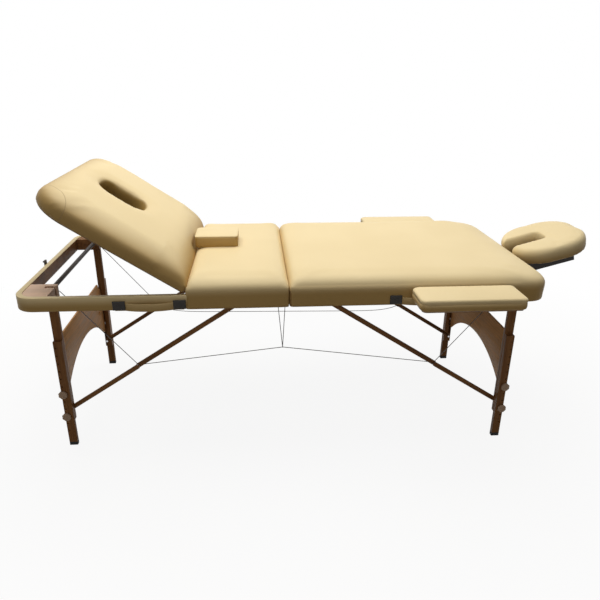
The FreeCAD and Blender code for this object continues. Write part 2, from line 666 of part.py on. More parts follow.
cushion = pad(-BACK_END, board_start - 1, -HALF_WIDTH, HALF_WIDTH, board_high, BACK_CUSHION_HEIGHT,
              back_radii, PAD_FORM, BACK_END_SLOPE).cut(breath_hole)
parts["backrest_cushion"] = turned(cushion, BACK_AXIS_X, BACK_AXIS_Z, BACK_TILT)
fixed_leaves = []
moving_leaves = []
for side in (-1, 1):
    fixed_leaves.append(leaf(BACK_AXIS_X, BACK_AXIS_Z, CENTRE_START, CENTRE_START + BACK_LEAF_WIDTH,
                             RAIL_TOP - LEAF_THICK, RAIL_TOP, side * BACK_HINGE_Y, BACK_HINGE_LENGTH,
                             BACK_KNUCKLE, BACK_PIN, 0, True))
    leaf_shape = leaf(BACK_AXIS_X, BACK_AXIS_Z, board_start, board_start - BACK_LEAF_WIDTH,
                      board_low - LEAF_THICK, board_low, side * BACK_HINGE_Y, BACK_HINGE_LENGTH,
                      BACK_KNUCKLE, BACK_PIN, 1, False)
    moving_leaves.append(turned(leaf_shape, BACK_AXIS_X, BACK_AXIS_Z, BACK_TILT))
parts["backrest_fixed_leaves"] = group(fixed_leaves)
parts["backrest_moving_leaves"] = group(moving_leaves)

# Plug cushion lying on the centre section
plug_low = DECK_TOP + CUSHION_HEIGHT + 0.3
parts["plug_cushion"] = pad(PLUG_X - PLUG_LENGTH / 2, PLUG_X + PLUG_LENGTH / 2, PLUG_Y - PLUG_WIDTH / 2,
                            PLUG_Y + PLUG_WIDTH / 2, plug_low, PLUG_HEIGHT, (PLUG_CORNER,) * 4, BOX_FORM)

# Leg sets
for word, sign in (("left", -1), ("right", 1)):
    made = leg_set(sign, -sign * LEG_SHIFT)
    for key in made:
        parts[word + "_" + key] = made[key]
apron_x = -LEG_X - LEG_HALF
parts["left_apron"] = parts["left_apron"].cut(
    rod((apron_x - 1, APRON_HOLE_Y, APRON_HOLE_Z), (apron_x + APRON_THICK + 1, APRON_HOLE_Y, APRON_HOLE_Z),
        APRON_HOLE_RADIUS))

# Cables from the leg tops to the strut knees and across the middle
cable_runs = {"left": [], "right": []}
for side in (-1, 1):
    left_y = side * LEG_CENTRE_Y + LEG_SHIFT - side * cable_place
    right_y = side * LEG_CENTRE_Y - LEG_SHIFT - side * cable_place
    for word, sign, y in (("left", -1, left_y), ("right", 1, right_y)):
        leg_end = (sign * (BLOCK_INNER_X - CABLE_GAP - CABLE_RADIUS), y, RAIL_BOTTOM + CABLE_RISE)
        knee_end = (sign * (knee_x + 0.4 * CABLE_STOP), y, knee_z + 0.5 * CABLE_STOP)
        cable_runs[word].append(rod(leg_end, knee_end, CABLE_RADIUS))
    left_tip = (-knee_x + 0.4 * CABLE_STOP, left_y, knee_z)
    right_tip = (knee_x - 0.4 * CABLE_STOP, right_y, knee_z)
    if side < 0:
        middle = (CABLE_MIDDLE_X, (left_y + right_y) / 2, CABLE_MIDDLE_Z)
        run = [rod(left_tip, middle, CABLE_RADIUS), rod(middle, right_tip, CABLE_RADIUS)]
        for top_x in (CABLE_V_LEFT, CABLE_V_RIGHT):
            run.append(rod(middle, (top_x, middle[1], RAIL_BOTTOM - CABLE_GAP), CABLE_RADIUS))
        run.append(Part.makeSphere(1.6 * CABLE_RADIUS, V(*middle)))
        whole = run[0]
        for piece in run[1:]:
            whole = whole.fuse(piece)
        cable_runs["left"].append(whole)
    else:
        cable_runs["left"].append(rod(left_tip, right_tip, CABLE_RADIUS))
parts["left_cables"] = group(cable_runs["left"])
parts["right_cables"] = group(cable_runs["right"])

# Latch: base and lever on the left end rail, keeper on the right end rail
latch_x = -HALF_LENGTH - LATCH_PLATE - LATCH_KNUCKLE - 0.5
base = box(-HALF_LENGTH - LATCH_PLATE, -HALF_LENGTH, LATCH_Y0, LATCH_Y1, RAIL_BOTTOM + 6,
           LATCH_Z + LATCH_BASE_RISE)
ears = []
for y0, y1 in ((LATCH_Y0, LATCH_Y0 + LATCH_EAR), (LATCH_Y1 - LATCH_EAR, LATCH_Y1)):
    ears.append(rod_y(latch_x, LATCH_Z, y0, y1, LATCH_KNUCKLE))
    ears.append(box(latch_x, -HALF_LENGTH, y0, y1, LATCH_Z - LATCH_KNUCKLE, LATCH_Z + LATCH_KNUCKLE))
pin = rod_y(latch_x, LATCH_Z, LATCH_Y0, LATCH_Y1, LATCH_PIN)
parts["latch_base"] = joined([base] + ears + [pin])
hub_y0 = LATCH_Y0 + LATCH_EAR + AXIAL_GAP
hub_y1 = LATCH_Y1 - LATCH_EAR - AXIAL_GAP
lever_half = 1.5
lever_top = LATCH_Z + LATCH_LEVER
lever = joined([rod_y(latch_x, LATCH_Z, hub_y0, hub_y1, LATCH_KNUCKLE),
                box(latch_x - lever_half, latch_x + lever_half, hub_y0, hub_y1, LATCH_Z, lever_top),
                box(latch_x - lever_half - LATCH_LIP, latch_x, hub_y0, hub_y1, lever_top - LATCH_LIP,
                    lever_top)])
parts["latch_lever"] = lever.cut(rod_y(latch_x, LATCH_Z, LATCH_Y0, LATCH_Y1, LATCH_PIN + RUN))
parts["latch_keeper"] = joined([
    box(HALF_LENGTH, HALF_LENGTH + LATCH_PLATE, hub_y0, hub_y1, RAIL_BOTTOM, RAIL_BOTTOM + KEEPER_HEIGHT),
    box(HALF_LENGTH, HALF_LENGTH + LATCH_PLATE + 2.5, hub_y0, hub_y1, RAIL_BOTTOM + 1, RAIL_BOTTOM + 4)])

# Armrests on pegs at both sides
for side, word in ((-1, "near"), (1, "far")):
    y0 = min(side * ARM_INNER, side * ARM_OUTER)
    y1 = max(side * ARM_INNER, side * ARM_OUTER)
    inset = ARM_BASE_INSET
    arm_radii = (ARM_CORNER, ARM_HEAD_CORNER, ARM_HEAD_CORNER, ARM_CORNER)
    base_top = ARM_BASE_LOW + ARM_BASE_THICK
    base = slab(ARM_X0 + inset, ARM_X1 - inset, y0 + inset, y1 - inset, ARM_BASE_LOW, base_top,
                [radius - inset for radius in arm_radii])
    pegs = []
    for place in (ARM_PEG_X0, ARM_PEG_X1):
        peg_head = ARM_INNER + ARM_PEG_SHARE * ARM_WIDTH
        peg = rod_y(place, arm_peg_z, side * ARM_PEG_END, side * peg_head, ARM_PEG_RADIUS)
        base = base.cut(peg)
        pegs.append(peg)
    parts[word + "_armrest_base"] = group([base] + pegs)
    parts[word + "_armrest_pad"] = pad(ARM_X0, ARM_X1, y0, y1, base_top, ARM_PAD_HEIGHT, arm_radii, BOX_FORM)

# Face cradle: pegged frame, tilting platform, horseshoe cushion
frame_pieces = [box(CRADLE_BAR_X0, CRADLE_BAR_X1, -CRADLE_BAR_HALF, CRADLE_BAR_HALF, CRADLE_BAR_LOW,
                    CRADLE_BAR_HIGH)]
platform_pieces = []
plate_high = CRADLE_PIVOT_Z + CRADLE_PLATE_THICK + 2
plate_low = plate_high - CRADLE_PLATE_THICK
bores = []
for side in (-1, 1):
    frame_pieces.append(rod((CRADLE_PEG_END, side * CRADLE_PEG_Y, CRADLE_PEG_Z),
                            (CRADLE_BAR_X0 + 1, side * CRADLE_PEG_Y, CRADLE_PEG_Z), CRADLE_PEG_RADIUS))
    lug0 = side * CRADLE_LUG_Y
    lug1 = side * (CRADLE_LUG_Y + CRADLE_LUG_THICK)
    frame_pieces.append(box(CRADLE_BAR_X1 - 1, CRADLE_PIVOT_X, lug0, lug1, CRADLE_PIVOT_Z - CRADLE_ROUND,
                            CRADLE_PIVOT_Z + CRADLE_ROUND))
    frame_pieces.append(rod_y(CRADLE_PIVOT_X, CRADLE_PIVOT_Z, lug0, lug1, CRADLE_ROUND))
    ear0 = lug1 + side * AXIAL_GAP
    ear1 = ear0 + side * CRADLE_EAR_THICK
    frame_pieces.append(rod_y(CRADLE_PIVOT_X, CRADLE_PIVOT_Z, lug0, ear1, CRADLE_PIN))
    platform_pieces.append(rod_y(CRADLE_PIVOT_X, CRADLE_PIVOT_Z, ear0, ear1, CRADLE_ROUND))
    platform_pieces.append(box(CRADLE_PIVOT_X, CRADLE_PIVOT_X + CRADLE_EAR_REACH, ear0, ear1,
                               CRADLE_PIVOT_Z - CRADLE_ROUND, plate_low + 0.5 * CRADLE_PLATE_THICK))
    platform_pieces.append(box(CRADLE_PLATE_X0 + CRADLE_ARM_START, CRADLE_ARM_X1, side * CRADLE_ARM_Y0,
                               side * CRADLE_ARM_Y1, plate_low - CRADLE_ARM_DEPTH, plate_low + 1))
    bores.append(rod_y(CRADLE_PIVOT_X, CRADLE_PIVOT_Z, ear0 - side, ear1 + side, CRADLE_PIN + RUN))
plate = slab(CRADLE_PLATE_X0, CRADLE_PLATE_X1, -CRADLE_PLATE_HALF, CRADLE_PLATE_HALF, plate_low, plate_high,
             (CUSHION_CORNER, CRADLE_PLATE_CORNER, CRADLE_PLATE_CORNER, CUSHION_CORNER))
slot_x0 = CRADLE_PAD_X - CRADLE_PAD_HALF_X - CRADLE_SLOT_RUN
slot_radii = (1.0, CRADLE_SLOT_CORNER, CRADLE_SLOT_CORNER, 1.0)
pad_high = plate_high + CRADLE_PAD_HEIGHT
slot_low = plate_low - CRADLE_SLOT_DEPTH
slot_flare_low = pad_high - 0.45 * CRADLE_PAD_HEIGHT
face_slot = flared(slot_x0, CRADLE_SLOT_END, -CRADLE_SLOT_HALF, CRADLE_SLOT_HALF, slot_low, slot_flare_low,
                   pad_high + 1, slot_radii, CRADLE_SLOT_FLARE)
plate = plate.cut(face_slot)
platform = joined([plate] + platform_pieces)
for bore in bores:
    platform = platform.cut(bore)
horseshoe = pad(CRADLE_PAD_X - CRADLE_PAD_HALF_X, CRADLE_PAD_X + CRADLE_PAD_HALF_X, -CRADLE_PAD_HALF_Y,
                CRADLE_PAD_HALF_Y, plate_high, CRADLE_PAD_HEIGHT, (CRADLE_PAD_CORNER,) * 4, SMALL_FORM)
horseshoe = horseshoe.cut(face_slot)
parts["cradle_frame"] = joined(frame_pieces)
parts["cradle_platform"] = turned(platform, CRADLE_PIVOT_X, CRADLE_PIVOT_Z, -CRADLE_TILT)
parts["cradle_cushion"] = turned(horseshoe, CRADLE_PIVOT_X, CRADLE_PIVOT_Z, -CRADLE_TILT)

# Shift everything so that the origin is under the middle of the whole, on the floor
total = FreeCAD.BoundBox()
for name in parts:
    total.add(parts[name].optimalBoundingBox(True))
shift_x = -(total.XMin + total.XMax) / 2
shift_y = -(total.YMin + total.YMax) / 2
os.makedirs("parts", exist_ok=True)
for name in parts:
    shape = parts[name]
    shape.translate(V(shift_x, shift_y, -total.ZMin))
    shape.exportStep("parts/" + name + ".step")
    solids = shape.Solids
    print(name, len(solids), "solids", round(shape.Volume / 1000.0, 1), "cm3", shape.isValid())
print("shift", round(shift_x, 4), round(shift_y, 4), round(-total.ZMin, 4), "nodes", len(parts))
print("size", round(total.XLength, 2), round(total.YLength, 2), round(total.ZLength, 2))
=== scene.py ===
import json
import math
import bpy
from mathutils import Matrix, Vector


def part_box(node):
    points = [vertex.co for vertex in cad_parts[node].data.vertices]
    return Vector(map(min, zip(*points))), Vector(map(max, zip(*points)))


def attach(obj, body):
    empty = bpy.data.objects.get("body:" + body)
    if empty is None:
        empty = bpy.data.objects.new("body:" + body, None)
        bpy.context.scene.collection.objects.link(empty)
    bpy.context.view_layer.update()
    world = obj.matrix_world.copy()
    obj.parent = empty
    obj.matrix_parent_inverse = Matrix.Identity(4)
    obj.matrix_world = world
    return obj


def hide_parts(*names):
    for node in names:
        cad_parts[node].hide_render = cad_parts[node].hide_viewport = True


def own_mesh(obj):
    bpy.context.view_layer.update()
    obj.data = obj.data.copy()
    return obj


bl_info = {
    "name": "Folding massage table",
    "version": (1, 0, 0),
    "blender": (4, 5, 0),
    "location": "View3D > Sidebar > Massage table",
    "description": "Dresses the frame of a three-section folding massage table",
    "category": "Object",
}

import bmesh
import bpy
from mathutils import Matrix, Vector

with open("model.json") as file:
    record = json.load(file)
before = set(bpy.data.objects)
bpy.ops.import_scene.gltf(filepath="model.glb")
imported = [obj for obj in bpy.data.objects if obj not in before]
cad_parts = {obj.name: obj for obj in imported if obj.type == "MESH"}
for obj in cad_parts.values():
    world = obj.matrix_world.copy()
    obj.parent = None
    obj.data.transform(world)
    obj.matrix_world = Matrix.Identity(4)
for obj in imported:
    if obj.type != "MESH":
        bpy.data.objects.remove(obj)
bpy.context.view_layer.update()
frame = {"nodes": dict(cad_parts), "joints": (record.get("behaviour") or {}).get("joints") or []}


def joint_place(name):
    """Point on a joint's axis, in the frame."""
    for joint in frame["joints"]:
        if joint["name"] == name:
            return Vector(joint["pos_m"])
    raise RuntimeError("no joint named " + name)


CREASE = joint_place("fold")
BACK_AXIS = joint_place("backrest_tilt")
CRADLE_AXIS = joint_place("cradle_tilt")
BACK_TILT = math.radians(33.5)
BACK_RAISE = math.radians(8.5)
BACK_NORMAL = Vector((math.sin(BACK_TILT), 0, math.cos(BACK_TILT)))
BACK_ALONG = Vector((-math.cos(BACK_TILT), 0, math.sin(BACK_TILT)))
BACK_BASE = BACK_AXIS.dot(BACK_NORMAL)
BACK_START = BACK_AXIS.dot(BACK_ALONG)
CRADLE_TILT = math.radians(15.0)
STRUT_RISE = 0.4885
STRUT_RUN = 0.7625
STRUT_SLOPE = math.atan2(STRUT_RISE, STRUT_RUN)
BACK_SEAM_ALONG = 0.640
BACK_SEAM_ACROSS = 0.470
BACK_SEAM_RADIUS = 0.201
HOLE_PLACE = 0.352
HOLE_HALF_LENGTH = 0.0905
HOLE_HALF_WIDTH = 0.0775
CABLE_SAG = 0.028
CREASE_ROOM = 0.004
STRAP_SNUG = 0.6
BOARD_INSET = 0.009
PEG_INSET = 0.0835
PEG_RADIUS = 0.005
PEG_SEAT = 0.050
KNOB_LOBES = 8
KNOB_THICK = 0.009
BOLT_RADIUS = 0.0027
BOLT_HEAD_RADIUS = 0.0047
BOLT_HEAD = 0.0034
RAIL_INNER = 0.374
RAIL_INNER_FACE = 0.378
RAIL_THICK = 0.022
LEFT_MIDDLE = 0.45
FOOT_TIP = 0.0139
COVER_DROP = 0.0006
COVER_SPARE = 0.02
COVER_WALL = 0.0018
COVER_CORNER = 0.006
HELD_SHARE = 0.92
HEAD_CORNER = 0.0725
HEAD_BULGE = 0.0115
HEAD_REACH = 0.11
CREASE_GAP = 0.0003
# Heights over a cover's foot between which the painted side shade fades into the top colour.
SIDE_SHADE_LOW = 0.040
SIDE_SHADE_HIGH = 0.091
PILLOW_CELL = 0.009
PILLOW_SHIFT = 0.0105
PILLOW_HELD = 0.026
PILLOW_FREE = 0.030
HINGE_REACH = 0.15
HINGE_SMOOTH = 0.13
HEAD_SMOOTH = 0.50
WRAP_SCALE = (1.0125, 1.0179, 1.0)
WRAP_RISE = 0.002
PLUG_ROOM = 0.003
CAMERA_ANGLES = (22.138, 4.739, 0.515)
CAMERA_PLACE = (-0.1121, -2.1968, 1.3554)
CAMERA_LENS = 33.96
CAMERA_SENSOR = 36.0
BACKGROUND_RAYS = ("Is Camera Ray", "Is Glossy Ray", "Is Transmission Ray")
SIDES = (("near", -1), ("far", 1))
HALVES = (("left", -1), ("right", 1))


class CoverSettings(bpy.types.PropertyGroup):
    """Sizes and colours of the upholstery."""

    stand: bpy.props.FloatProperty(
        name="Stand", description="How far the cover stands off the rails", default=0.0025, unit="LENGTH")
    edge_reach: bpy.props.FloatProperty(
        name="Edge reach", description="How far the rounded edge reaches in over the top", default=0.046,
        unit="LENGTH")
    edge_rise: bpy.props.FloatProperty(
        name="Edge rise", description="Height of the rounded edge", default=0.040, unit="LENGTH")
    crown: bpy.props.FloatProperty(
        name="Crown", description="Furthest that the foam may swell", default=0.004, unit="LENGTH")
    large_cell: bpy.props.FloatProperty(
        name="Large cell", description="Mesh cell of the large sections", default=0.010, unit="LENGTH")
    small_cell: bpy.props.FloatProperty(
        name="Small cell", description="Mesh cell of the face pad", default=0.0055, unit="LENGTH")
    top_colour: bpy.props.FloatVectorProperty(
        name="Top colour", description="Vinyl on the tops", subtype="COLOR", size=3, min=0, max=1,
        default=(0.89, 0.735, 0.435))
    # Painted shade: a darker vinyl colour for low on the sides, standing in for the shade on faces turned
    # away from the overhead light.
    shaded_side_colour: bpy.props.FloatVectorProperty(
        name="Side colour", description="Vinyl low on the sides", subtype="COLOR", size=3, min=0, max=1,
        default=(0.47, 0.31, 0.115))


class TimberSettings(bpy.types.PropertyGroup):
    """Colours of the wooden pieces."""

    leg_light: bpy.props.FloatVectorProperty(
        name="Leg light", description="Light grain of the stained wood", subtype="COLOR", size=3,
        min=0, max=1, default=(0.30, 0.142, 0.052))
    leg_dark: bpy.props.FloatVectorProperty(
        name="Leg dark", description="Dark grain of the stained wood", subtype="COLOR", size=3, min=0, max=1,
        default=(0.16, 0.068, 0.024))
    beech: bpy.props.FloatVectorProperty(
        name="Beech", description="Bare corner blocks", subtype="COLOR", size=3, min=0, max=1,
        default=(0.96, 0.69, 0.51))
    panel: bpy.props.FloatVectorProperty(
        name="Panel", description="Arched veneer panels", subtype="COLOR", size=3, min=0, max=1,
        default=(0.93, 0.50, 0.20))
    board: bpy.props.FloatVectorProperty(
        name="Board", description="Decks and boards", subtype="COLOR", size=3, min=0, max=1,
        default=(0.40, 0.27, 0.16))
    edge: bpy.props.FloatProperty(
        name="Eased edge", description="Rounding of wooden edges", default=0.0014, unit="LENGTH")


class StageSettings(bpy.types.PropertyGroup):
    """Lights and background."""

    key_power: bpy.props.FloatProperty(
        name="Key", description="Power of the overhead light", default=94.0, min=0, unit="POWER")
    fill_power: bpy.props.FloatProperty(
        name="Fill", description="Power of the front light", default=15.0, min=0, unit="POWER")
    sky: bpy.props.FloatProperty(
        name="Sky", description="Strength of the even light", default=0.08, min=0)


class Sock:
    """A shader socket whose arithmetic adds Math nodes."""

    def __init__(self, paint, socket):
        self.paint = paint
        self.socket = socket

    def maths(self, operation, first, second):
        return self.paint.node("ShaderNodeMath", {"operation": operation}, {0: first, 1: second})

    def __add__(self, other):
        return self.maths("ADD", self, other)

    def __sub__(self, other):
        return self.maths("SUBTRACT", self, other)

    def __mul__(self, other):
        return self.maths("MULTIPLY", self, other)

    def __pow__(self, other):
        return self.maths("POWER", self, other)

    def __abs__(self):
        return self.maths("ABSOLUTE", self, 0.0)


class Paint:
    """One material and its nodes."""

    def __init__(self, name):
        self.material = bpy.data.materials.new(name)
        self.material.use_nodes = True
        self.tree = self.material.node_tree
        self.tree.nodes.clear()

    def node(self, kind, settings=None, inputs=None, output=0):
        made = self.tree.nodes.new(kind)
        for key, value in (settings or {}).items():
            if key == "stops":
                ramp = made.color_ramp.elements
                while len(ramp) < len(value):
                    ramp.new(0.5)
                for element, (place, colour) in zip(ramp, value):
                    element.position = place
                    element.color = (*colour, 1)
            else:
                setattr(made, key, value)
        for key, value in (inputs or {}).items():
            if isinstance(value, Sock):
                self.tree.links.new(value.socket, made.inputs[key])
            else:
                made.inputs[key].default_value = value
        return Sock(self, made.outputs[output]) if made.outputs else None

    def coords(self):
        return self.node("ShaderNodeTexCoord", output="Object")

    def stretched(self, scale, turn=(0, 0, 0)):
        turned = self.node("ShaderNodeMapping", {"vector_type": "POINT"},
                           {"Vector": self.coords(), "Rotation": turn})
        return self.node("ShaderNodeVectorMath", {"operation": "MULTIPLY"}, {0: turned, 1: scale})

    def noise(self, vector, scale, detail=2.0, rough=0.5):
        return self.node("ShaderNodeTexNoise", {}, {"Vector": vector, "Scale": scale, "Detail": detail,
                                                   "Roughness": rough})

    def mix(self, factor, first, second, blend="MIX"):
        def colour(value):
            return value if isinstance(value, Sock) else (*value, 1)
        return self.node("ShaderNodeMix", {"data_type": "RGBA", "blend_type": blend},
                         {0: factor, 6: colour(first), 7: colour(second)}, output=2)

    def height(self, normal):
        return self.node("ShaderNodeVectorMath", {"operation": "DOT_PRODUCT"},
                         {0: self.coords(), 1: normal}, output="Value")

    def eased(self, value, low, high, to_low=0.0, to_high=1.0):
        return self.node("ShaderNodeMapRange", {"interpolation_type": "SMOOTHSTEP"},
                         {"Value": value, "From Min": low, "From Max": high, "To Min": to_low,
                          "To Max": to_high})

    def bump(self, height, strength, distance):
        return self.node("ShaderNodeBump", {}, {"Height": height, "Strength": strength,
                                                "Distance": distance})

    def surface(self, values):
        shader = self.node("ShaderNodeBsdfPrincipled", {}, values)
        self.node("ShaderNodeOutputMaterial", {}, {"Surface": shader})
        return self.material


def vinyl(name, low, high, normal=(0, 0, 1), seam=None, hole_shade=None):
    """Cream upholstery vinyl: pebbled grain, slow mottling, and painted shade low on the sides, where the
    vinyl turns away from the overhead light.
    """
    covers = bpy.context.scene.table_covers
    paint = Paint(name)
    place = paint.coords()
    # Painted shade: between the low and the high height the colour goes from the shaded side colour to the
    # top colour.
    rise = paint.eased(paint.height(normal), low, high)
    slow = paint.noise(place, 3.2, 2.0)
    tone = paint.mix(rise, tuple(covers.shaded_side_colour), tuple(covers.top_colour))
    shade = paint.mix(paint.eased(slow, 0.3, 0.7, 0.0, 0.5), tone, (0.93, 0.92, 0.90), "MULTIPLY")
    pebble = paint.node("ShaderNodeTexVoronoi", {"feature": "SMOOTH_F1"},
                        {"Vector": place, "Scale": 620.0, "Smoothness": 0.6})
    pores = paint.noise(place, 1500.0, 2.0)
    crease = paint.noise(place, 26.0, 3.0, 0.6)
    grain = pebble * 0.7 + pores * 0.25 + crease * 0.5
    if seam is not None:
        line = seam(paint)
        shade = paint.mix(line * 0.45, shade, (0.36, 0.25, 0.13))
        grain = grain - line * 3.0
    # Painted shade: a darker colour inside the breath hole, standing in for the shadow on its walls.
    if hole_shade is not None:
        shade = paint.mix(hole_shade(paint), shade, (0.30, 0.19, 0.055))
    rough = paint.eased(pebble * 0.5 + slow * 0.5, 0.2, 0.8, 0.40, 0.54)
    return paint.surface({"Base Color": shade, "Roughness": rough, "Normal": paint.bump(grain, 0.30, 0.0005),
                          "Specular IOR Level": 0.11})


def timber(name, turn=(0, 0, 0), light=None, dark=None, gloss=0.42):
    """Stained wood: streaks, pores and slow bands along the local Z of the turned coordinates."""
    stain = bpy.context.scene.table_timber
    light = tuple(light or stain.leg_light)
    dark = tuple(dark or stain.leg_dark)
    paint = Paint(name)
    streak = paint.noise(paint.stretched((95, 95, 4.5), turn), 1.0, 5.0, 0.62)
    pores = paint.noise(paint.stretched((520, 520, 16), turn), 1.0, 2.0, 0.5)
    band = paint.noise(paint.stretched((16, 16, 1.3), turn), 1.0, 2.0, 0.5)
    grain = paint.eased(streak * 0.62 + band * 0.38, 0.34, 0.66)
    tone = paint.mix(grain, dark, light)
    fleck = paint.eased(pores, 0.60, 0.72)
    tone = paint.mix(fleck * 0.35, tone, tuple(0.55 * value for value in dark))
    rough = paint.eased(streak, 0.3, 0.7, gloss - 0.05, gloss + 0.10)
    relief = streak * 0.6 - fleck * 0.7
    return paint.surface({"Base Color": tone, "Roughness": rough, "Normal": paint.bump(relief, 0.22, 0.0006),
                          "Specular IOR Level": 0.08})


def metal(name, colour, rough, brushed, shine=0.5):
    """Bare or painted steel with fine brushing and small scuffs."""
    paint = Paint(name)
    lines = paint.noise(paint.stretched((900, 60, 900)), 1.0, 3.0, 0.6)
    scuff = paint.noise(paint.coords(), 55.0, 4.0, 0.6)
    worn = tuple(0.72 * value for value in colour)
    tone = paint.mix(paint.eased(scuff, 0.35, 0.75, 0.0, 0.35), colour, worn)
    wear = paint.eased(lines * 0.5 + scuff * 0.5, 0.3, 0.7, rough - 0.07, rough + 0.09)
    return paint.surface({"Base Color": tone, "Metallic": brushed, "Roughness": wear,
                          "Normal": paint.bump(lines, 0.08, 0.0003), "Specular IOR Level": shine})


def moulded(name, colour, rough):
    """Moulded plastic or rubber with a fine spark-eroded texture."""
    paint = Paint(name)
    fine = paint.noise(paint.coords(), 1400.0, 2.0)
    slow = paint.noise(paint.coords(), 40.0, 3.0)
    pale = tuple(min(1, 1.5 * value) for value in colour)
    tone = paint.mix(paint.eased(slow, 0.3, 0.7, 0.0, 0.4), colour, pale)
    wear = paint.eased(slow, 0.3, 0.7, rough - 0.06, rough + 0.06)
    return paint.surface({"Base Color": tone, "Roughness": wear, "Normal": paint.bump(fine, 0.15, 0.0003),
                          "Specular IOR Level": 0.2})


def strand(name):
    """Thin twisted steel cable."""
    paint = Paint(name)
    twist = paint.node("ShaderNodeTexWave", {"wave_type": "BANDS", "bands_direction": "DIAGONAL"},
                       {"Vector": paint.coords(), "Scale": 260.0})
    tone = paint.mix(twist, (0.07, 0.065, 0.06), (0.17, 0.16, 0.15))
    rough = paint.eased(twist, 0, 1, 0.34, 0.5)
    return paint.surface({"Base Color": tone, "Metallic": 0.3, "Roughness": rough,
                          "Normal": paint.bump(twist, 0.4, 0.0004), "Specular IOR Level": 0.2})


LOOKS = {}


def look(name, maker, *values, **named):
    """A material, made once."""
    if name not in LOOKS:
        LOOKS[name] = maker(name, *values, **named)
    return LOOKS[name]


def steel():
    return look("satin_steel", metal, (0.58, 0.58, 0.59), 0.34, 1.0)


def dark_steel():
    return look("dark_painted_steel", metal, (0.050, 0.036, 0.026), 0.45, 0.0, 0.2)


def black_plastic():
    return look("black_plastic", moulded, (0.034, 0.031, 0.028), 0.48)


def rubber():
    return look("black_rubber", moulded, (0.022, 0.022, 0.022), 0.78)


def tan_plastic():
    return look("tan_plastic", moulded, (0.46, 0.33, 0.23), 0.45)


def board():
    shade = tuple(bpy.context.scene.table_timber.board)
    dark = tuple(0.62 * value for value in shade)
    return look("brown_board", timber, (math.pi / 2, 0, 0), shade, dark, 0.5)


def upright_wood():
    return look("stained_wood_upright", timber)


def cross_wood():
    return look("stained_wood_across", timber, (math.pi / 2, 0, 0))


def panel_wood():
    shade = tuple(bpy.context.scene.table_timber.panel)
    dark = tuple(0.7 * value for value in shade)
    return look("veneer_panel", timber, (math.pi / 2, 0, 0), shade, dark)


def long_wood():
    return look("stained_wood_along", timber, (0, math.pi / 2, 0))


def beech():
    shade = tuple(bpy.context.scene.table_timber.beech)
    dark = tuple(0.78 * value for value in shade)
    return look("bare_beech", timber, (0, math.pi / 2, 0), shade, dark, 0.5)


def copied(node):
    """A merged copy of a CAD node's mesh."""
    bm = bmesh.new()
    bm.from_mesh(frame["nodes"][node].data)
    bmesh.ops.remove_doubles(bm, verts=bm.verts, dist=1e-5)
    bmesh.ops.dissolve_limit(bm, angle_limit=math.radians(0.5), verts=bm.verts, edges=bm.edges)
    return bm


def merged(bm, other):
    """Adds the other mesh to the first and frees it."""
    mesh = bpy.data.meshes.new("merged")
    other.to_mesh(mesh)
    other.free()
    bm.from_mesh(mesh)
    bpy.data.meshes.remove(mesh)


def coloured(bm, count):
    """Gives the faces after the first count the second material."""
    bm.faces.ensure_lookup_table()
    for face in bm.faces[count:]:
        face.material_index = 1


def ease(bm, width, steps=2, keep=None):
    """Rounds the sharp outer edges, apart from those that keep names."""
    limit = math.radians(38.0)
    edges = [edge for edge in bm.edges if len(edge.link_faces) == 2 and edge.is_convex
             and edge.calc_face_angle(0) > limit and not (keep and keep(edge))]
    bmesh.ops.bevel(bm, geom=edges, offset=width, offset_type="OFFSET", segments=steps, profile=0.5,
                    affect="EDGES", clamp_overlap=True, material=-1)


def made_object(bm, name, materials, smooth=35.0):
    """A finished mesh object in the scene."""
    mesh = bpy.data.meshes.new(name)
    bm.to_mesh(mesh)
    bm.free()
    piece = bpy.data.objects.new(name, mesh)
    bpy.context.scene.collection.objects.link(piece)
    for material in materials:
        mesh.materials.append(material)
    mesh.polygons.foreach_set("use_smooth", [True] * len(mesh.polygons))
    if smooth:
        mesh.set_sharp_from_angle(angle=math.radians(smooth))
    return piece


def placed(piece, body, slot, *nodes):
    """Puts a piece on its body and lets it stand for its CAD nodes."""
    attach(piece, body)
    if nodes:
        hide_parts(*nodes)
    return piece


def drawn_in(bm, way):
    """Draws the ends at the crease back behind the covers."""
    ends = [vert for vert in bm.verts if abs(vert.co.x - CREASE.x) < 0.003]
    bmesh.ops.translate(bm, vec=(way, 0, 0), verts=ends)


def eased_copy(node, body, slot, materials, width, steps=2, choose=None, keep=None, draw=0.0):
    """The CAD node with eased edges; choose gives a face's material number."""
    bm = copied(node)
    drawn_in(bm, draw)
    ease(bm, width, steps, keep)
    if choose is not None:
        bm.normal_update()
        for face in bm.faces:
            face.material_index = choose(face)
    return placed(made_object(bm, "eased_" + node, materials), body, slot, node)


def ring(bm, low, high, z, radii, steps):
    """A rounded rectangle face; radii start at the low corner and go round."""
    (x0, y0), (x1, y1) = low, high
    verts = bmesh.ops.create_grid(bm, x_segments=1, y_segments=1, size=0.5)["verts"]
    bmesh.ops.scale(bm, vec=(x1 - x0, y1 - y0, 1), verts=verts)
    bmesh.ops.translate(bm, vec=((x0 + x1) / 2, (y0 + y1) / 2, z), verts=verts)
    corners = ((x0, y0), (x1, y0), (x1, y1), (x0, y1))
    face = None
    for vert in list(verts):
        spot = [abs(vert.co.x - cx) + abs(vert.co.y - cy) for cx, cy in corners]
        radius = radii[spot.index(min(spot))]
        made = bmesh.ops.bevel(bm, geom=[vert], offset=radius, offset_type="OFFSET", segments=steps,
                               profile=0.5, affect="VERTICES", material=-1)
        face = made["verts"][0].link_faces[0]
    return face


def loft(bm, faces):
    """Walls between rounded rectangles, with the first and last kept as caps."""
    loops = [list(face.edges) for face in faces]
    bmesh.ops.delete(bm, geom=faces[1:-1], context="FACES_ONLY")
    for first, second in zip(loops, loops[1:]):
        bmesh.ops.bridge_loops(bm, edges=first + second)
    bmesh.ops.recalc_face_normals(bm, faces=bm.faces)


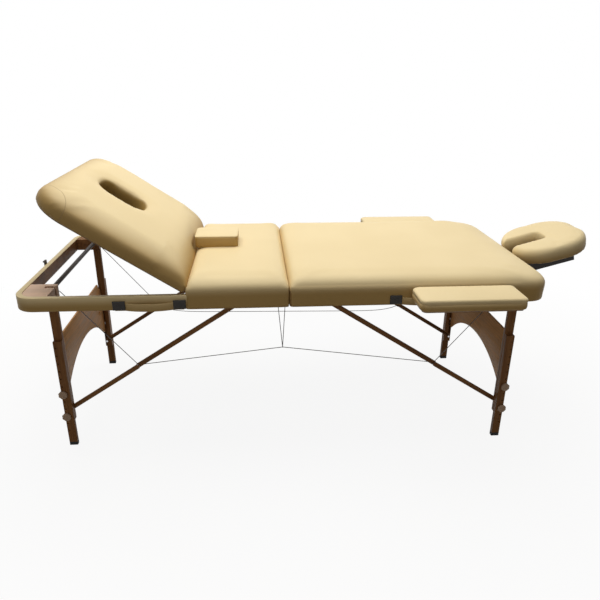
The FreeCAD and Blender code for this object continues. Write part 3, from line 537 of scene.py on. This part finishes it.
def lofted(low, high, levels, radii, grow=0.0, ends=(1.0, 1.0), steps=8):
    """A padded block: levels are height, inset and bulge of the high X end; ends scale the inset along X."""
    bm = bmesh.new()
    faces = []
    for z, inset, bulge in levels:
        corners = [radius + grow * inset for radius in radii]
        faces.append(ring(bm, (low[0] + inset * ends[0], low[1] + inset),
                          (high[0] - inset * ends[1] + bulge, high[1] - inset), z, corners, steps))
    loft(bm, faces)
    return bm


def baked(piece):
    """Applies the modifiers of a piece."""
    seen = piece.evaluated_get(bpy.context.evaluated_depsgraph_get())
    mesh = bpy.data.meshes.new_from_object(seen)
    old = piece.data
    piece.modifiers.clear()
    piece.data = mesh
    bpy.data.meshes.remove(old)
    return piece


def remeshed(bm, name, cell, rounds):
    """Even cells over a closed form, smoothed a little."""
    piece = made_object(bm, name, [], None)
    cells = piece.modifiers.new("cells", "REMESH")
    cells.mode = "VOXEL"
    cells.voxel_size = cell
    cells.use_smooth_shade = True
    baked(piece)
    even = bmesh.new()
    even.from_mesh(piece.data)
    for number in range(rounds):
        bmesh.ops.smooth_vert(even, verts=even.verts, factor=0.5, use_axis_x=True, use_axis_y=True,
                              use_axis_z=True)
    even.to_mesh(piece.data)
    even.free()
    return piece


def swelled(piece, held, pressure, cap):
    """Cloth filled from inside, with the held points fixed and the movement capped."""
    start = [vert.co.copy() for vert in piece.data.vertices]
    group = piece.vertex_groups.new(name="held")
    group.add([vert.index for vert in piece.data.vertices if held(vert.co)], 1.0, "REPLACE")
    cloth = piece.modifiers.new("swell", "CLOTH")
    cloth.settings.vertex_group_mass = "held"
    cloth.settings.use_pressure = True
    cloth.settings.uniform_pressure_force = pressure
    cloth.settings.effector_weights.gravity = 0.0
    cloth.settings.tension_stiffness = 40.0
    cloth.settings.compression_stiffness = 40.0
    cloth.settings.bending_stiffness = 2.0
    cloth.point_cache.frame_end = 20
    scene = bpy.context.scene
    for number in range(1, 21):
        scene.frame_set(number)
    baked(piece)
    scene.frame_set(1)
    piece.vertex_groups.clear()
    for vert, old in zip(piece.data.vertices, start):
        way = vert.co - old
        if way.length > cap:
            vert.co = old + way * (cap / way.length)
    return piece


def finished(piece, materials, subdivide=True):
    """Materials, smooth shading and one subdivision for a soft piece."""
    mesh = piece.data
    mesh.materials.clear()
    for material in materials:
        mesh.materials.append(material)
    mesh.polygons.foreach_set("use_smooth", [True] * len(mesh.polygons))
    if subdivide:
        rounder = piece.modifiers.new("round", "SUBSURF")
        rounder.levels = 1
        rounder.render_levels = 1
    return piece


def edge_levels(foot, side, top, reach, foot_inset=0.0, steps=8):
    """Levels of a padded block: straight side, then an elliptic edge."""
    levels = [(foot, foot_inset)]
    for number in range(steps + 1):
        angle = math.radians(90.0 * number / steps)
        levels.append((side + (top - side) * math.sin(angle), reach * (1 - math.cos(angle))))
    return levels


def smoothed(piece, free, rounds):
    """Evens out the free points of a mesh."""
    bm = bmesh.new()
    bm.from_mesh(piece.data)
    verts = [vert for vert in bm.verts if free(vert.co)]
    for number in range(rounds):
        bmesh.ops.smooth_vert(bm, verts=verts, factor=0.5, use_axis_x=True, use_axis_y=True,
                              use_axis_z=True)
    bm.to_mesh(piece.data)
    bm.free()


def opened(shell, reach, lid):
    """Opens the low X end wall between the rails below the deck, where the folded legs pass."""
    for place, way in (((0, -RAIL_INNER, 0), (0, 1, 0)), ((0, RAIL_INNER, 0), (0, 1, 0)),
                       ((0, 0, lid), (0, 0, 1))):
        faces = [face for face in shell.faces if face.calc_center_median().x < reach]
        edges = {edge for face in faces for edge in face.edges}
        verts = {vert for face in faces for vert in face.verts}
        bmesh.ops.bisect_plane(shell, geom=faces + list(edges) + list(verts), plane_co=place, plane_no=way)
    gone = []
    for face in shell.faces:
        spot = face.calc_center_median()
        if spot.x < reach and abs(spot.y) < RAIL_INNER and spot.z < lid:
            gone.append(face)
    bmesh.ops.delete(shell, geom=gone, context="FACES")


def section_cover(name, body, cushion, deck, rails, stands, corner, grow, ends, bulge, hollow=False):
    """One continuous cover from the top of a section over its rounded edge to the rail's lower edge."""
    sizes = bpy.context.scene.table_covers
    low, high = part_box(deck)
    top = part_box(cushion)[1][2]
    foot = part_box(rails)[0][2] - COVER_DROP
    block_low = (low[0] - stands[0], low[1] - sizes.stand)
    block_high = (high[0] + stands[1], high[1] + sizes.stand)
    levels = edge_levels(foot - COVER_SPARE, top - sizes.edge_rise, top, sizes.edge_reach)
    levels = [(z, inset, bulge * math.sin(math.pi * min(1, max(0, (z - foot) / (top - foot)))))
              for z, inset in levels]
    radii = (COVER_CORNER, corner, corner, COVER_CORNER)
    bm = lofted(block_low, block_high, levels, radii, grow, ends)
    piece = remeshed(bm, name, sizes.large_cell, 2)
    side = top - HELD_SHARE * sizes.edge_rise
    swelled(piece, lambda point: point.z < side, 1.2, sizes.crown)
    smoothed(piece, lambda point: point.z > side + 0.006, 6)
    if bulge:
        end = block_high[0] - HEAD_REACH
        smoothed(piece, lambda point: point.z > foot + 0.010 and point.x > end, 12)
    shell = bmesh.new()
    shell.from_mesh(piece.data)
    bmesh.ops.bisect_plane(shell, geom=shell.verts[:] + shell.edges[:] + shell.faces[:],
                           plane_co=(0, 0, foot), plane_no=(0, 0, 1), clear_inner=True)
    if hollow:
        opened(shell, block_low[0] + COVER_SPARE, low[2] - 0.0005)
    shell.to_mesh(piece.data)
    shell.free()
    # Painted shade on the section covers: darker low on the sides, cream over the top.
    finished(piece, [look("vinyl_sections", vinyl, foot + SIDE_SHADE_LOW, foot + SIDE_SHADE_HIGH)], False)
    wall = piece.modifiers.new("wall", "SOLIDIFY")
    wall.thickness = COVER_WALL
    wall.offset = -1.0
    return placed(piece, body, "vinyl", cushion)


class TABLE_OT_sections(bpy.types.Operator):
    """Covers the centre and main sections."""

    bl_idname = "table.sections"
    bl_label = "Section covers"

    def execute(self, context):
        stand = context.scene.table_covers.stand
        seam = 0.5 * (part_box("main_deck")[0][0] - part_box("centre_deck")[1][0]) - CREASE_GAP
        section_cover("main_cover", "right_half", "main_cushion", "main_deck", "right_side_rails",
                      (seam, stand), HEAD_CORNER, 1.1, (0.6, 1.7), HEAD_BULGE)
        section_cover("centre_cover", "left_half", "centre_cushion", "centre_deck", "left_side_rails",
                      (stand, seam), COVER_CORNER, 0.3, (0.4, 0.6), 0.0, True)
        return {"FINISHED"}


def back_seam(paint):
    """Curved seams that cut off the two head corners of the backrest."""
    from_end = paint.height(tuple(BACK_ALONG)) - (BACK_START + BACK_SEAM_ALONG)
    from_side = abs(paint.height((0, 1, 0))) - BACK_SEAM_ACROSS
    reach = (from_end * from_end + from_side * from_side) ** 0.5
    return paint.eased(abs(reach - BACK_SEAM_RADIUS), 0.0022, 0.0006)


def back_hole_shade(paint):
    """Painted shade inside the breath hole, where its walls lie in shadow."""
    along = paint.height(tuple(BACK_ALONG)) - (BACK_START + HOLE_PLACE)
    across = paint.height((0, 1, 0))
    lengthways = ((along * (1 / HOLE_HALF_LENGTH)) ** 2.0) ** 1.6
    sideways = ((across * (1 / HOLE_HALF_WIDTH)) ** 2.0) ** 1.6
    return paint.eased(lengthways + sideways, 1.30, 0.95)


def tilted(scale):
    """Scales along, across and off the raised backrest about its hinge."""
    place = Matrix.Translation(BACK_AXIS) @ Matrix.Rotation(BACK_TILT, 4, "Y")
    return place @ Matrix.Diagonal((*scale, 1)) @ place.inverted()


def plug_room(piece):
    """Presses the pillow in where the plug cushion stands when the backrest is fully raised."""
    low, high = (Vector(corner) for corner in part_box("plug_cushion"))
    place = Matrix.Translation(BACK_AXIS)
    swing = place @ Matrix.Rotation(BACK_RAISE, 4, "Y") @ place.inverted()
    back = swing.inverted()
    for vert in piece.data.vertices:
        spot = swing @ vert.co
        inside = all(low[axis] - PLUG_ROOM < spot[axis] < high[axis] + PLUG_ROOM for axis in range(3))
        if inside:
            spot.x = low.x - PLUG_ROOM
            vert.co = back @ spot


class TABLE_OT_backrest(bpy.types.Operator):
    """Makes the raised backrest: one pillow pulled over its board, and the board's underside."""

    bl_idname = "table.backrest"
    bl_label = "Backrest"

    def execute(self, context):
        bm = copied("backrest_cushion")
        ends = [vert for vert in bm.verts if vert.co.dot(BACK_ALONG) < BACK_START + HINGE_REACH]
        bmesh.ops.translate(bm, vec=-PILLOW_SHIFT * BACK_ALONG, verts=ends)
        wrap = copied("backrest_board")
        bmesh.ops.transform(wrap, matrix=tilted(WRAP_SCALE), verts=wrap.verts)
        bmesh.ops.translate(wrap, vec=WRAP_RISE * BACK_NORMAL, verts=wrap.verts)
        merged(bm, wrap)

        def rise(point):
            return point.dot(BACK_NORMAL) - BACK_BASE

        def reach(point):
            return point.dot(BACK_ALONG) - BACK_START

        piece = remeshed(bm, "backrest_pillow", PILLOW_CELL, 3)
        swelled(piece, lambda point: rise(point) < PILLOW_HELD, 1.4, 0.005)
        smoothed(piece, lambda point: rise(point) > PILLOW_FREE, 3)
        smoothed(piece, lambda point: rise(point) > PILLOW_HELD and reach(point) < HINGE_SMOOTH, 22)
        smoothed(piece, lambda point: rise(point) > PILLOW_FREE and reach(point) > HEAD_SMOOTH, 10)
        plug_room(piece)
        # Painted shade on the backrest pillow: darker low on its sides and inside the breath hole.
        skin = look("vinyl_backrest", vinyl, BACK_BASE + 0.032, BACK_BASE + 0.092, tuple(BACK_NORMAL),
                    back_seam, back_hole_shade)
        finished(piece, [skin])
        placed(piece, "backrest", "vinyl", "backrest_cushion")
        eased_copy("backrest_board", "backrest", "board", [board()], 0.003, 3)
        return {"FINISHED"}


def boxed_pad(name, body, node, seam_share, edge, radii, crown, dark, drop=0.0):
    """A box-like pad: crisp top edge, a seam round its side and a low crown."""
    low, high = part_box(node)
    foot, top = low[2] - drop, high[2]
    tall = top - foot
    crest = top - crown
    seam = foot + seam_share * tall
    levels = [(foot, 0.004), (foot + 0.003, 0.0012), (foot + 0.25 * tall, 0.0), (seam - 0.0022, 0.0004),
              (seam - 0.0008, 0.0018), (seam + 0.0008, 0.0018), (seam + 0.0022, 0.0003),
              (crest - edge, 0.0)]
    for number in range(1, 6):
        angle = math.radians(90.0 * number / 5)
        levels.append((crest - edge + edge * math.sin(angle), edge * (1 - math.cos(angle))))
    for share, inset in ((0.35, 0.014), (0.65, 0.026), (0.9, 0.042), (1.0, 0.058)):
        levels.append((crest + crown * share, inset))
    bm = lofted(low, high, [(z, inset, 0.0) for z, inset in levels], radii, 0.1, steps=7)
    # Painted shade: the pad's vinyl turns to the darker side colour below the top by the dark height,
    # standing in for the shade on its sides.
    piece = made_object(bm, name, [look("vinyl_" + name, vinyl, top - dark, top - 0.002)], 50.0)
    return placed(piece, body, "vinyl", node)


class TABLE_OT_plug(bpy.types.Operator):
    """Makes the plug cushion that lies on the centre section."""

    bl_idname = "table.plug"
    bl_label = "Plug cushion"

    def execute(self, context):
        boxed_pad("plug_pad", "plug", "plug_cushion", 0.86, 0.004, (0.014,) * 4, 0.003, 0.014)
        return {"FINISHED"}


def rod(bm, x, z, first, second, radius):
    """A plain rod across the table."""
    verts = bmesh.ops.create_cone(bm, cap_ends=True, segments=24, radius1=radius, radius2=radius,
                                  depth=abs(second - first))["verts"]
    turn = Matrix.Rotation(math.radians(90.0), 4, "X")
    middle = Matrix.Translation((x, 0.5 * (first + second), z))
    bmesh.ops.transform(bm, matrix=middle @ turn, verts=verts)


def armrest_board(side, sign):
    """The board under an armrest pad, with the two steel pegs that slide into the rail."""
    node = side + "_armrest_base"
    low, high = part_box(node)
    pad_low, pad_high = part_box(side + "_armrest_pad")
    edge = 0.0008
    levels = [(low[2], edge, 0.0), (low[2] + edge, 0.0, 0.0), (high[2] - edge, 0.0, 0.0),
              (high[2], edge, 0.0)]
    bm = lofted((low[0], pad_low[1] + BOARD_INSET), (high[0], pad_high[1] - BOARD_INSET), levels,
                (0.015, 0.006, 0.006, 0.015), steps=6)
    count = len(bm.faces)
    tip = low[1] if sign > 0 else high[1]
    seat = (pad_low[1] if sign > 0 else pad_high[1]) + sign * (BOARD_INSET + PEG_SEAT)
    for x in (pad_low[0] + PEG_INSET, pad_high[0] - PEG_INSET):
        rod(bm, x, 0.5 * (low[2] + high[2]), tip, seat, PEG_RADIUS)
    coloured(bm, count)
    piece = made_object(bm, "eased_" + node, [board(), steel()])
    return placed(piece, side + "_armrest", "board", node)


class TABLE_OT_armrests(bpy.types.Operator):
    """Makes the side armrests and their boards."""

    bl_idname = "table.armrests"
    bl_label = "Armrests"

    def execute(self, context):
        for side, sign in SIDES:
            boxed_pad(side + "_armrest_cover", side + "_armrest", side + "_armrest_pad", 0.56, 0.008,
                      (0.024, 0.013, 0.013, 0.024), 0.003, 0.036, 0.006)
            armrest_board(side, sign)
        return {"FINISHED"}


class TABLE_OT_cradle(bpy.types.Operator):
    """Makes the face cradle: pegged frame, platform and horseshoe pad."""

    bl_idname = "table.cradle"
    bl_label = "Face cradle"

    def execute(self, context):
        sizes = context.scene.table_covers
        normal = Vector((-math.sin(CRADLE_TILT), 0, math.cos(CRADLE_TILT)))
        base = CRADLE_AXIS.dot(normal) + 0.012
        piece = remeshed(copied("cradle_cushion"), "cradle_pad", sizes.small_cell, 2)
        swelled(piece, lambda point: point.dot(normal) < base + 0.008, 1.5, 0.003)
        # Painted shade: the cradle pad is darker low on its sides, cream on top.
        finished(piece, [look("vinyl_cradle", vinyl, base, base + 0.055, tuple(normal))])
        placed(piece, "cradle_head", "vinyl", "cradle_cushion")
        eased_copy("cradle_platform", "cradle_head", "black_plastic", [black_plastic()], 0.0016, 3)
        eased_copy("cradle_frame", "cradle_frame", "black_plastic", [black_plastic()], 0.0014, 3)
        return {"FINISHED"}


class TABLE_OT_frame(bpy.types.Operator):
    """Eases the rails, corner blocks, decks and hinge rails."""

    bl_idname = "table.rails"
    bl_label = "Rails and blocks"

    def execute(self, context):
        edge = context.scene.table_timber.edge
        low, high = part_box("left_end_rail")
        foot, top = low[2], high[2]
        # Painted shade: the rails' vinyl is darker down their sides and lighter only at the top edge.
        skin = look("vinyl_rails", vinyl, foot + 0.012, top + 0.006)
        middle = CREASE.x - LEFT_MIDDLE

        def wrapped(face):
            point = face.calc_center_median()
            outward = Vector((point.x - middle, point.y, 0))
            within = abs(point.y) < RAIL_INNER_FACE and point.x > low[0] + RAIL_THICK
            if within and face.normal.z < 0.5:
                return 1
            if face.normal.z < -0.5 or (face.normal.z < 0.5 and face.normal.dot(outward) < 0):
                return 1
            return 0

        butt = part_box("left_side_rails")[0][0]

        def butted(edge):
            return all(abs(vert.co.x - butt) < 1e-4 for vert in edge.verts)

        for node in ("left_side_rails", "left_end_rail"):
            eased_copy(node, "left_half", "vinyl", [skin, long_wood()], 0.003, 3, wrapped, butted,
                       -CREASE_ROOM)
        for node, body, wood in (("right_side_rails", "right_half", long_wood()),
                                 ("right_end_rail", "right_half", cross_wood()),
                                 ("left_hinge_rail", "left_half", cross_wood()),
                                 ("right_hinge_rail", "right_half", cross_wood())):
            room = CREASE_ROOM if body == "right_half" else -CREASE_ROOM
            eased_copy(node, body, "wood", [wood], edge, draw=room)
        for half, sign in HALVES:
            # Faces on the far side (y > 0) of both halves take the dark stained wood in place of beech:
            # painted shade, standing in for the backrest's shadow on the far blocks.
            eased_copy(half + "_pivot_blocks", half + "_half", "beech", [beech(), cross_wood()], 0.0016, 2,
                       lambda face: 1 if face.calc_center_median().y > 0 else 0)
        eased_copy("centre_deck", "left_half", "board", [board()], 0.001, draw=-CREASE_ROOM)
        eased_copy("main_deck", "right_half", "board", [board()], 0.001, draw=CREASE_ROOM)
        return {"FINISHED"}


class TABLE_OT_handles(bpy.types.Operator):
    """Makes the carry handles on the near rails."""

    bl_idname = "table.handles"
    bl_label = "Carry handles"

    def execute(self, context):
        for half, sign in HALVES:
            low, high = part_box(half + "_handle_strap")
            # Painted shade: the straps sit low under the rails and take mostly the darker side colour.
            skin = look("vinyl_straps", vinyl, low[2] - 0.02, high[2] + 0.07)
            bm = copied(half + "_handle_strap")
            rail = Matrix.Translation((0, high[1], 0))
            snug = rail @ Matrix.Diagonal((1, STRAP_SNUG, 1, 1)) @ rail.inverted()
            bmesh.ops.transform(bm, matrix=snug, verts=bm.verts)
            ease(bm, 0.0006, 2)
            strap = made_object(bm, "eased_" + half + "_handle_strap", [skin])
            placed(strap, half + "_half", "vinyl", half + "_handle_strap")
            eased_copy(half + "_handle_caps", half + "_half", "black_plastic", [black_plastic()], 0.0012, 3)
        return {"FINISHED"}


class TABLE_OT_legs(bpy.types.Operator):
    """Makes the two leg sets: legs, rubber tips, axles and arched panels."""

    bl_idname = "table.legs"
    bl_label = "Leg sets"

    def execute(self, context):
        edge = context.scene.table_timber.edge
        for half, sign in HALVES:
            legs = half + "_legs"
            eased_copy(half + "_upper_legs", legs, "wood", [upright_wood()], edge)
            eased_copy(half + "_apron", legs, "wood", [panel_wood()], edge)
            eased_copy(half + "_axle", legs, "dark_steel", [dark_steel()], 0.001)
            for side, way in SIDES:
                node = "%s_lower_leg_%s" % (half, side)
                eased_copy(node, node, "wood", [upright_wood(), rubber()], edge, 2,
                           lambda face: 1 if face.calc_center_median().z < FOOT_TIP else 0)
        return {"FINISHED"}


class TABLE_OT_struts(bpy.types.Operator):
    """Makes the folding struts."""

    bl_idname = "table.struts"
    bl_label = "Folding struts"

    def execute(self, context):
        for half, sign in HALVES:
            turn = (0, sign * (math.pi / 2 - STRUT_SLOPE), 0)
            wood = look("stained_wood_strut_" + half, timber, turn)
            for level in ("upper", "lower"):
                node = "%s_%s_struts" % (half, level)
                eased_copy(node, node, "wood", [wood, steel()], 0.0012, 2,
                           lambda face: 1 if face.calc_area() < 6e-5 and abs(face.normal.y) < 0.1 else 0)
        return {"FINISHED"}


def knob_ring(bm, radius, depth, lobes):
    """One lobed outline of a knob."""
    verts = bmesh.ops.create_circle(bm, cap_ends=True, segments=64, radius=radius)["verts"]
    for vert in verts:
        angle = math.atan2(vert.co.y, vert.co.x)
        dip = 1 - lobes * (0.5 + 0.5 * math.cos(KNOB_LOBES * angle)) ** 3
        bmesh.ops.scale(bm, vec=(dip, dip, 1), verts=[vert])
    bmesh.ops.translate(bm, vec=(0, 0, depth), verts=verts)
    return verts[0].link_faces[0]


def lobed_knob(node, sign):
    """A knob with scalloped rim and dished face, and the bolt that it turns."""
    low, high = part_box(node)
    radius = 0.575 * (high[0] - low[0])
    outer = high[1] if sign > 0 else low[1]
    inner = low[1] if sign > 0 else high[1]
    x, z = 0.5 * (low[0] + high[0]), 0.5 * (low[2] + high[2])
    bm = bmesh.new()
    outlines = ((0.86, 0.0, 0.04), (0.95, 0.0012, 0.11), (1.0, 0.0026, 0.13), (1.0, 0.0060, 0.13),
                (0.96, 0.0076, 0.11), (0.88, 0.0087, 0.06), (0.74, KNOB_THICK, 0.0), (0.52, 0.0086, 0.0),
                (0.44, 0.0066, 0.0))
    loft(bm, [knob_ring(bm, radius * share, depth, lobes) for share, depth, lobes in outlines])
    turn = Matrix.Rotation(math.radians(-90.0 * sign), 4, "X")
    face = outer - sign * KNOB_THICK
    bmesh.ops.transform(bm, matrix=Matrix.Translation((x, face, z)) @ turn, verts=bm.verts)
    count = len(bm.faces)
    rod(bm, x, z, inner + sign * BOLT_HEAD, face + sign * 0.001, BOLT_RADIUS)
    rod(bm, x, z, inner, inner + sign * BOLT_HEAD, BOLT_HEAD_RADIUS)
    coloured(bm, count)
    piece = made_object(bm, "lobed_" + node, [tan_plastic(), steel()], 40.0)
    return placed(piece, node, "tan_plastic", node)


class TABLE_OT_knobs(bpy.types.Operator):
    """Makes the lobed knobs that clamp the lower legs, with their bolts."""

    bl_idname = "table.knobs"
    bl_label = "Leg knobs"

    def execute(self, context):
        for half, sign in HALVES:
            for side, way in SIDES:
                for level in ("lower", "upper"):
                    lobed_knob("%s_knob_%s_%s" % (half, side, level), way)
        return {"FINISHED"}


class TABLE_OT_hardware(bpy.types.Operator):
    """Eases the hinges and the latch."""

    bl_idname = "table.hardware"
    bl_label = "Hinges and latch"

    def execute(self, context):
        for node, body in (("left_hinge_leaves", "left_half"), ("right_hinge_leaves", "right_half"),
                           ("backrest_fixed_leaves", "left_half"), ("backrest_moving_leaves", "backrest")):
            eased_copy(node, body, "steel", [steel()], 0.0004)
        for node, body in (("latch_base", "left_half"), ("latch_lever", "latch_lever"),
                           ("latch_keeper", "right_half")):
            eased_copy(node, body, "dark_steel", [dark_steel()], 0.0005)
        return {"FINISHED"}


class TABLE_OT_cables(bpy.types.Operator):
    """Makes the thin cables between the leg tops, the strut knees and the crease, parted at the crease."""

    bl_idname = "table.cables"
    bl_label = "Cables"

    def execute(self, context):
        runs = copied("left_cables")
        long = [edge for edge in runs.edges if edge.calc_length() > 1.0]
        bmesh.ops.subdivide_edges(runs, edges=long, cuts=40)
        low = min(vert.co.z for vert in runs.verts if vert.co.y > 0)
        hung = [vert for vert in runs.verts if vert.co.y > 0 and vert.co.z < low + 0.0032]
        reach = max(abs(vert.co.x - CREASE.x) for vert in hung)
        for vert in hung:
            drop = CABLE_SAG * (1 - ((vert.co.x - CREASE.x) / reach) ** 10)
            bmesh.ops.translate(runs, vec=(0, 0, -drop), verts=[vert])
        whole = bpy.data.meshes.new("runs")
        runs.to_mesh(whole)
        runs.free()
        for half, sign in HALVES:
            bm = bmesh.new() if sign < 0 else copied("right_cables")
            part = bmesh.new()
            part.from_mesh(whole)
            cut = bmesh.ops.bisect_plane(part, geom=part.verts[:] + part.edges[:] + part.faces[:],
                                         plane_co=(CREASE.x, 0, 0), plane_no=(-sign, 0, 0),
                                         clear_outer=True)
            rims = [item for item in cut["geom_cut"] if isinstance(item, bmesh.types.BMEdge)]
            bmesh.ops.holes_fill(part, edges=rims)
            merged(bm, part)
            piece = made_object(bm, half + "_cable_runs", [look("steel_cable", strand)])
            placed(piece, half + "_half", "cable", half + "_cables")
            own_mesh(piece)
        bpy.data.meshes.remove(whole)
        return {"FINISHED"}


class TABLE_OT_stage(bpy.types.Operator):
    """Sets the floor, the lights, the background and the camera."""

    bl_idname = "table.stage"
    bl_label = "Stage"

    def execute(self, context):
        scene = context.scene
        lights = scene.table_stage
        floor = bmesh.new()
        bmesh.ops.create_grid(floor, x_segments=1, y_segments=1, size=14.0)
        paint = Paint("pale_floor")
        seen = 0.0
        for ray in BACKGROUND_RAYS:
            seen = paint.node("ShaderNodeLightPath", output=ray) + seen
        speckle = paint.noise(paint.coords(), 9.0)
        ground = paint.node("ShaderNodeBsdfDiffuse", {},
                            {"Color": paint.mix(speckle, (0.28, 0.26, 0.24), (0.31, 0.29, 0.27))})
        away = paint.node("ShaderNodeVectorMath", {"operation": "LENGTH"}, {0: paint.coords()},
                          output="Value")
        share = paint.eased(away, 0.9, 2.4, 0.09, 0.0)
        pale = paint.node("ShaderNodeBsdfDiffuse", {}, {"Color": (0.9, 0.9, 0.9, 1)})
        glow = paint.node("ShaderNodeEmission", {}, {"Color": (1, 1, 1, 1), "Strength": 1.0})
        white = paint.node("ShaderNodeMixShader", {}, {0: share, 1: glow, 2: pale})
        whole = paint.node("ShaderNodeMixShader", {}, {0: seen, 1: ground, 2: white})
        paint.node("ShaderNodeOutputMaterial", {}, {"Surface": whole})
        made_object(floor, "studio_floor", [paint.material], None)

        world = bpy.data.worlds.new("studio")
        world.use_nodes = True
        tree = world.node_tree
        tree.nodes.clear()
        rays = tree.nodes.new("ShaderNodeLightPath")
        either = tree.nodes.new("ShaderNodeMath")
        either.operation = "MAXIMUM"
        any_ray = tree.nodes.new("ShaderNodeMath")
        any_ray.operation = "MAXIMUM"
        tree.links.new(rays.outputs[BACKGROUND_RAYS[0]], either.inputs[0])
        tree.links.new(rays.outputs[BACKGROUND_RAYS[1]], either.inputs[1])
        tree.links.new(either.outputs[0], any_ray.inputs[0])
        tree.links.new(rays.outputs[BACKGROUND_RAYS[2]], any_ray.inputs[1])
        soft = tree.nodes.new("ShaderNodeBackground")
        soft.inputs["Color"].default_value = (1.0, 0.97, 0.93, 1)
        soft.inputs["Strength"].default_value = lights.sky
        bright = tree.nodes.new("ShaderNodeBackground")
        bright.inputs["Color"].default_value = (1, 1, 1, 1)
        blend = tree.nodes.new("ShaderNodeMixShader")
        end = tree.nodes.new("ShaderNodeOutputWorld")
        tree.links.new(any_ray.outputs[0], blend.inputs[0])
        tree.links.new(soft.outputs[0], blend.inputs[1])
        tree.links.new(bright.outputs[0], blend.inputs[2])
        tree.links.new(blend.outputs[0], end.inputs["Surface"])
        scene.world = world

        for name, place, aim, size, power, colour in (
                ("key", (-0.15, 0.45, 3.3), (-0.05, 0.0, 0.7), (3.4, 2.6), lights.key_power,
                 (1, 0.98, 0.95)),
                ("fill", (-0.6, -3.6, 1.7), (0.0, 0.0, 0.45), (3.0, 1.8), lights.fill_power,
                 (1, 0.95, 0.88))):
            lamp = bpy.data.lights.new(name, "AREA")
            lamp.shape = "RECTANGLE"
            lamp.size, lamp.size_y = size
            lamp.energy = power
            lamp.color = colour
            stand = bpy.data.objects.new(name, lamp)
            scene.collection.objects.link(stand)
            way = Vector(aim) - Vector(place)
            aimed = way.to_track_quat("-Z", "Y").to_matrix().to_4x4()
            stand.matrix_world = Matrix.Translation(place) @ aimed

        pitch, yaw, roll = (math.radians(angle) for angle in CAMERA_ANGLES)
        ahead = Vector((math.sin(yaw) * math.cos(pitch), math.cos(yaw) * math.cos(pitch), -math.sin(pitch)))
        level = Vector((math.cos(yaw), -math.sin(yaw), 0))
        upright = level.cross(ahead)
        right = level * math.cos(roll) + upright * math.sin(roll)
        up = upright * math.cos(roll) - level * math.sin(roll)
        lens = bpy.data.cameras.new("photo_camera")
        lens.lens = CAMERA_LENS
        lens.sensor_width = CAMERA_SENSOR
        lens.sensor_fit = "HORIZONTAL"
        lens.clip_end = 60.0
        camera = bpy.data.objects.new("photo_camera", lens)
        scene.collection.objects.link(camera)
        turn = Matrix((right, up, -ahead)).transposed().to_4x4()
        place = Vector((CREASE.x, 0, 0)) + Vector(CAMERA_PLACE)
        camera.matrix_world = Matrix.Translation(place) @ turn
        scene.camera = camera
        scene.view_settings.view_transform = "Standard"
        return {"FINISHED"}


STEPS = (TABLE_OT_frame, TABLE_OT_sections, TABLE_OT_backrest, TABLE_OT_plug, TABLE_OT_armrests,
         TABLE_OT_cradle, TABLE_OT_handles, TABLE_OT_legs, TABLE_OT_struts, TABLE_OT_knobs,
         TABLE_OT_hardware, TABLE_OT_cables, TABLE_OT_stage)


class TABLE_PT_panel(bpy.types.Panel):
    """Lists the steps that dress the table."""

    bl_idname = "TABLE_PT_panel"
    bl_label = "Massage table"
    bl_space_type = "VIEW_3D"
    bl_region_type = "UI"
    bl_category = "Massage table"

    def draw(self, context):
        for step in STEPS:
            self.layout.operator(step.bl_idname)
        for group in (context.scene.table_covers, context.scene.table_timber, context.scene.table_stage):
            for key in group.__annotations__:
                self.layout.prop(group, key)


CLASSES = (CoverSettings, TimberSettings, StageSettings) + STEPS + (TABLE_PT_panel,)


def register():
    for item in CLASSES:
        bpy.utils.register_class(item)
    bpy.types.Scene.table_covers = bpy.props.PointerProperty(type=CoverSettings)
    bpy.types.Scene.table_timber = bpy.props.PointerProperty(type=TimberSettings)
    bpy.types.Scene.table_stage = bpy.props.PointerProperty(type=StageSettings)


def unregister():
    del bpy.types.Scene.table_covers
    del bpy.types.Scene.table_timber
    del bpy.types.Scene.table_stage
    for item in reversed(CLASSES):
        bpy.utils.unregister_class(item)


def main():
    register()
    bpy.ops.table.rails()
    bpy.ops.table.sections()
    bpy.ops.table.backrest()
    bpy.ops.table.plug()
    bpy.ops.table.armrests()
    bpy.ops.table.cradle()
    bpy.ops.table.handles()
    bpy.ops.table.legs()
    bpy.ops.table.struts()
    bpy.ops.table.knobs()
    bpy.ops.table.hardware()
    bpy.ops.table.cables()
    bpy.ops.table.stage()


if __name__ == "__main__":
    main()
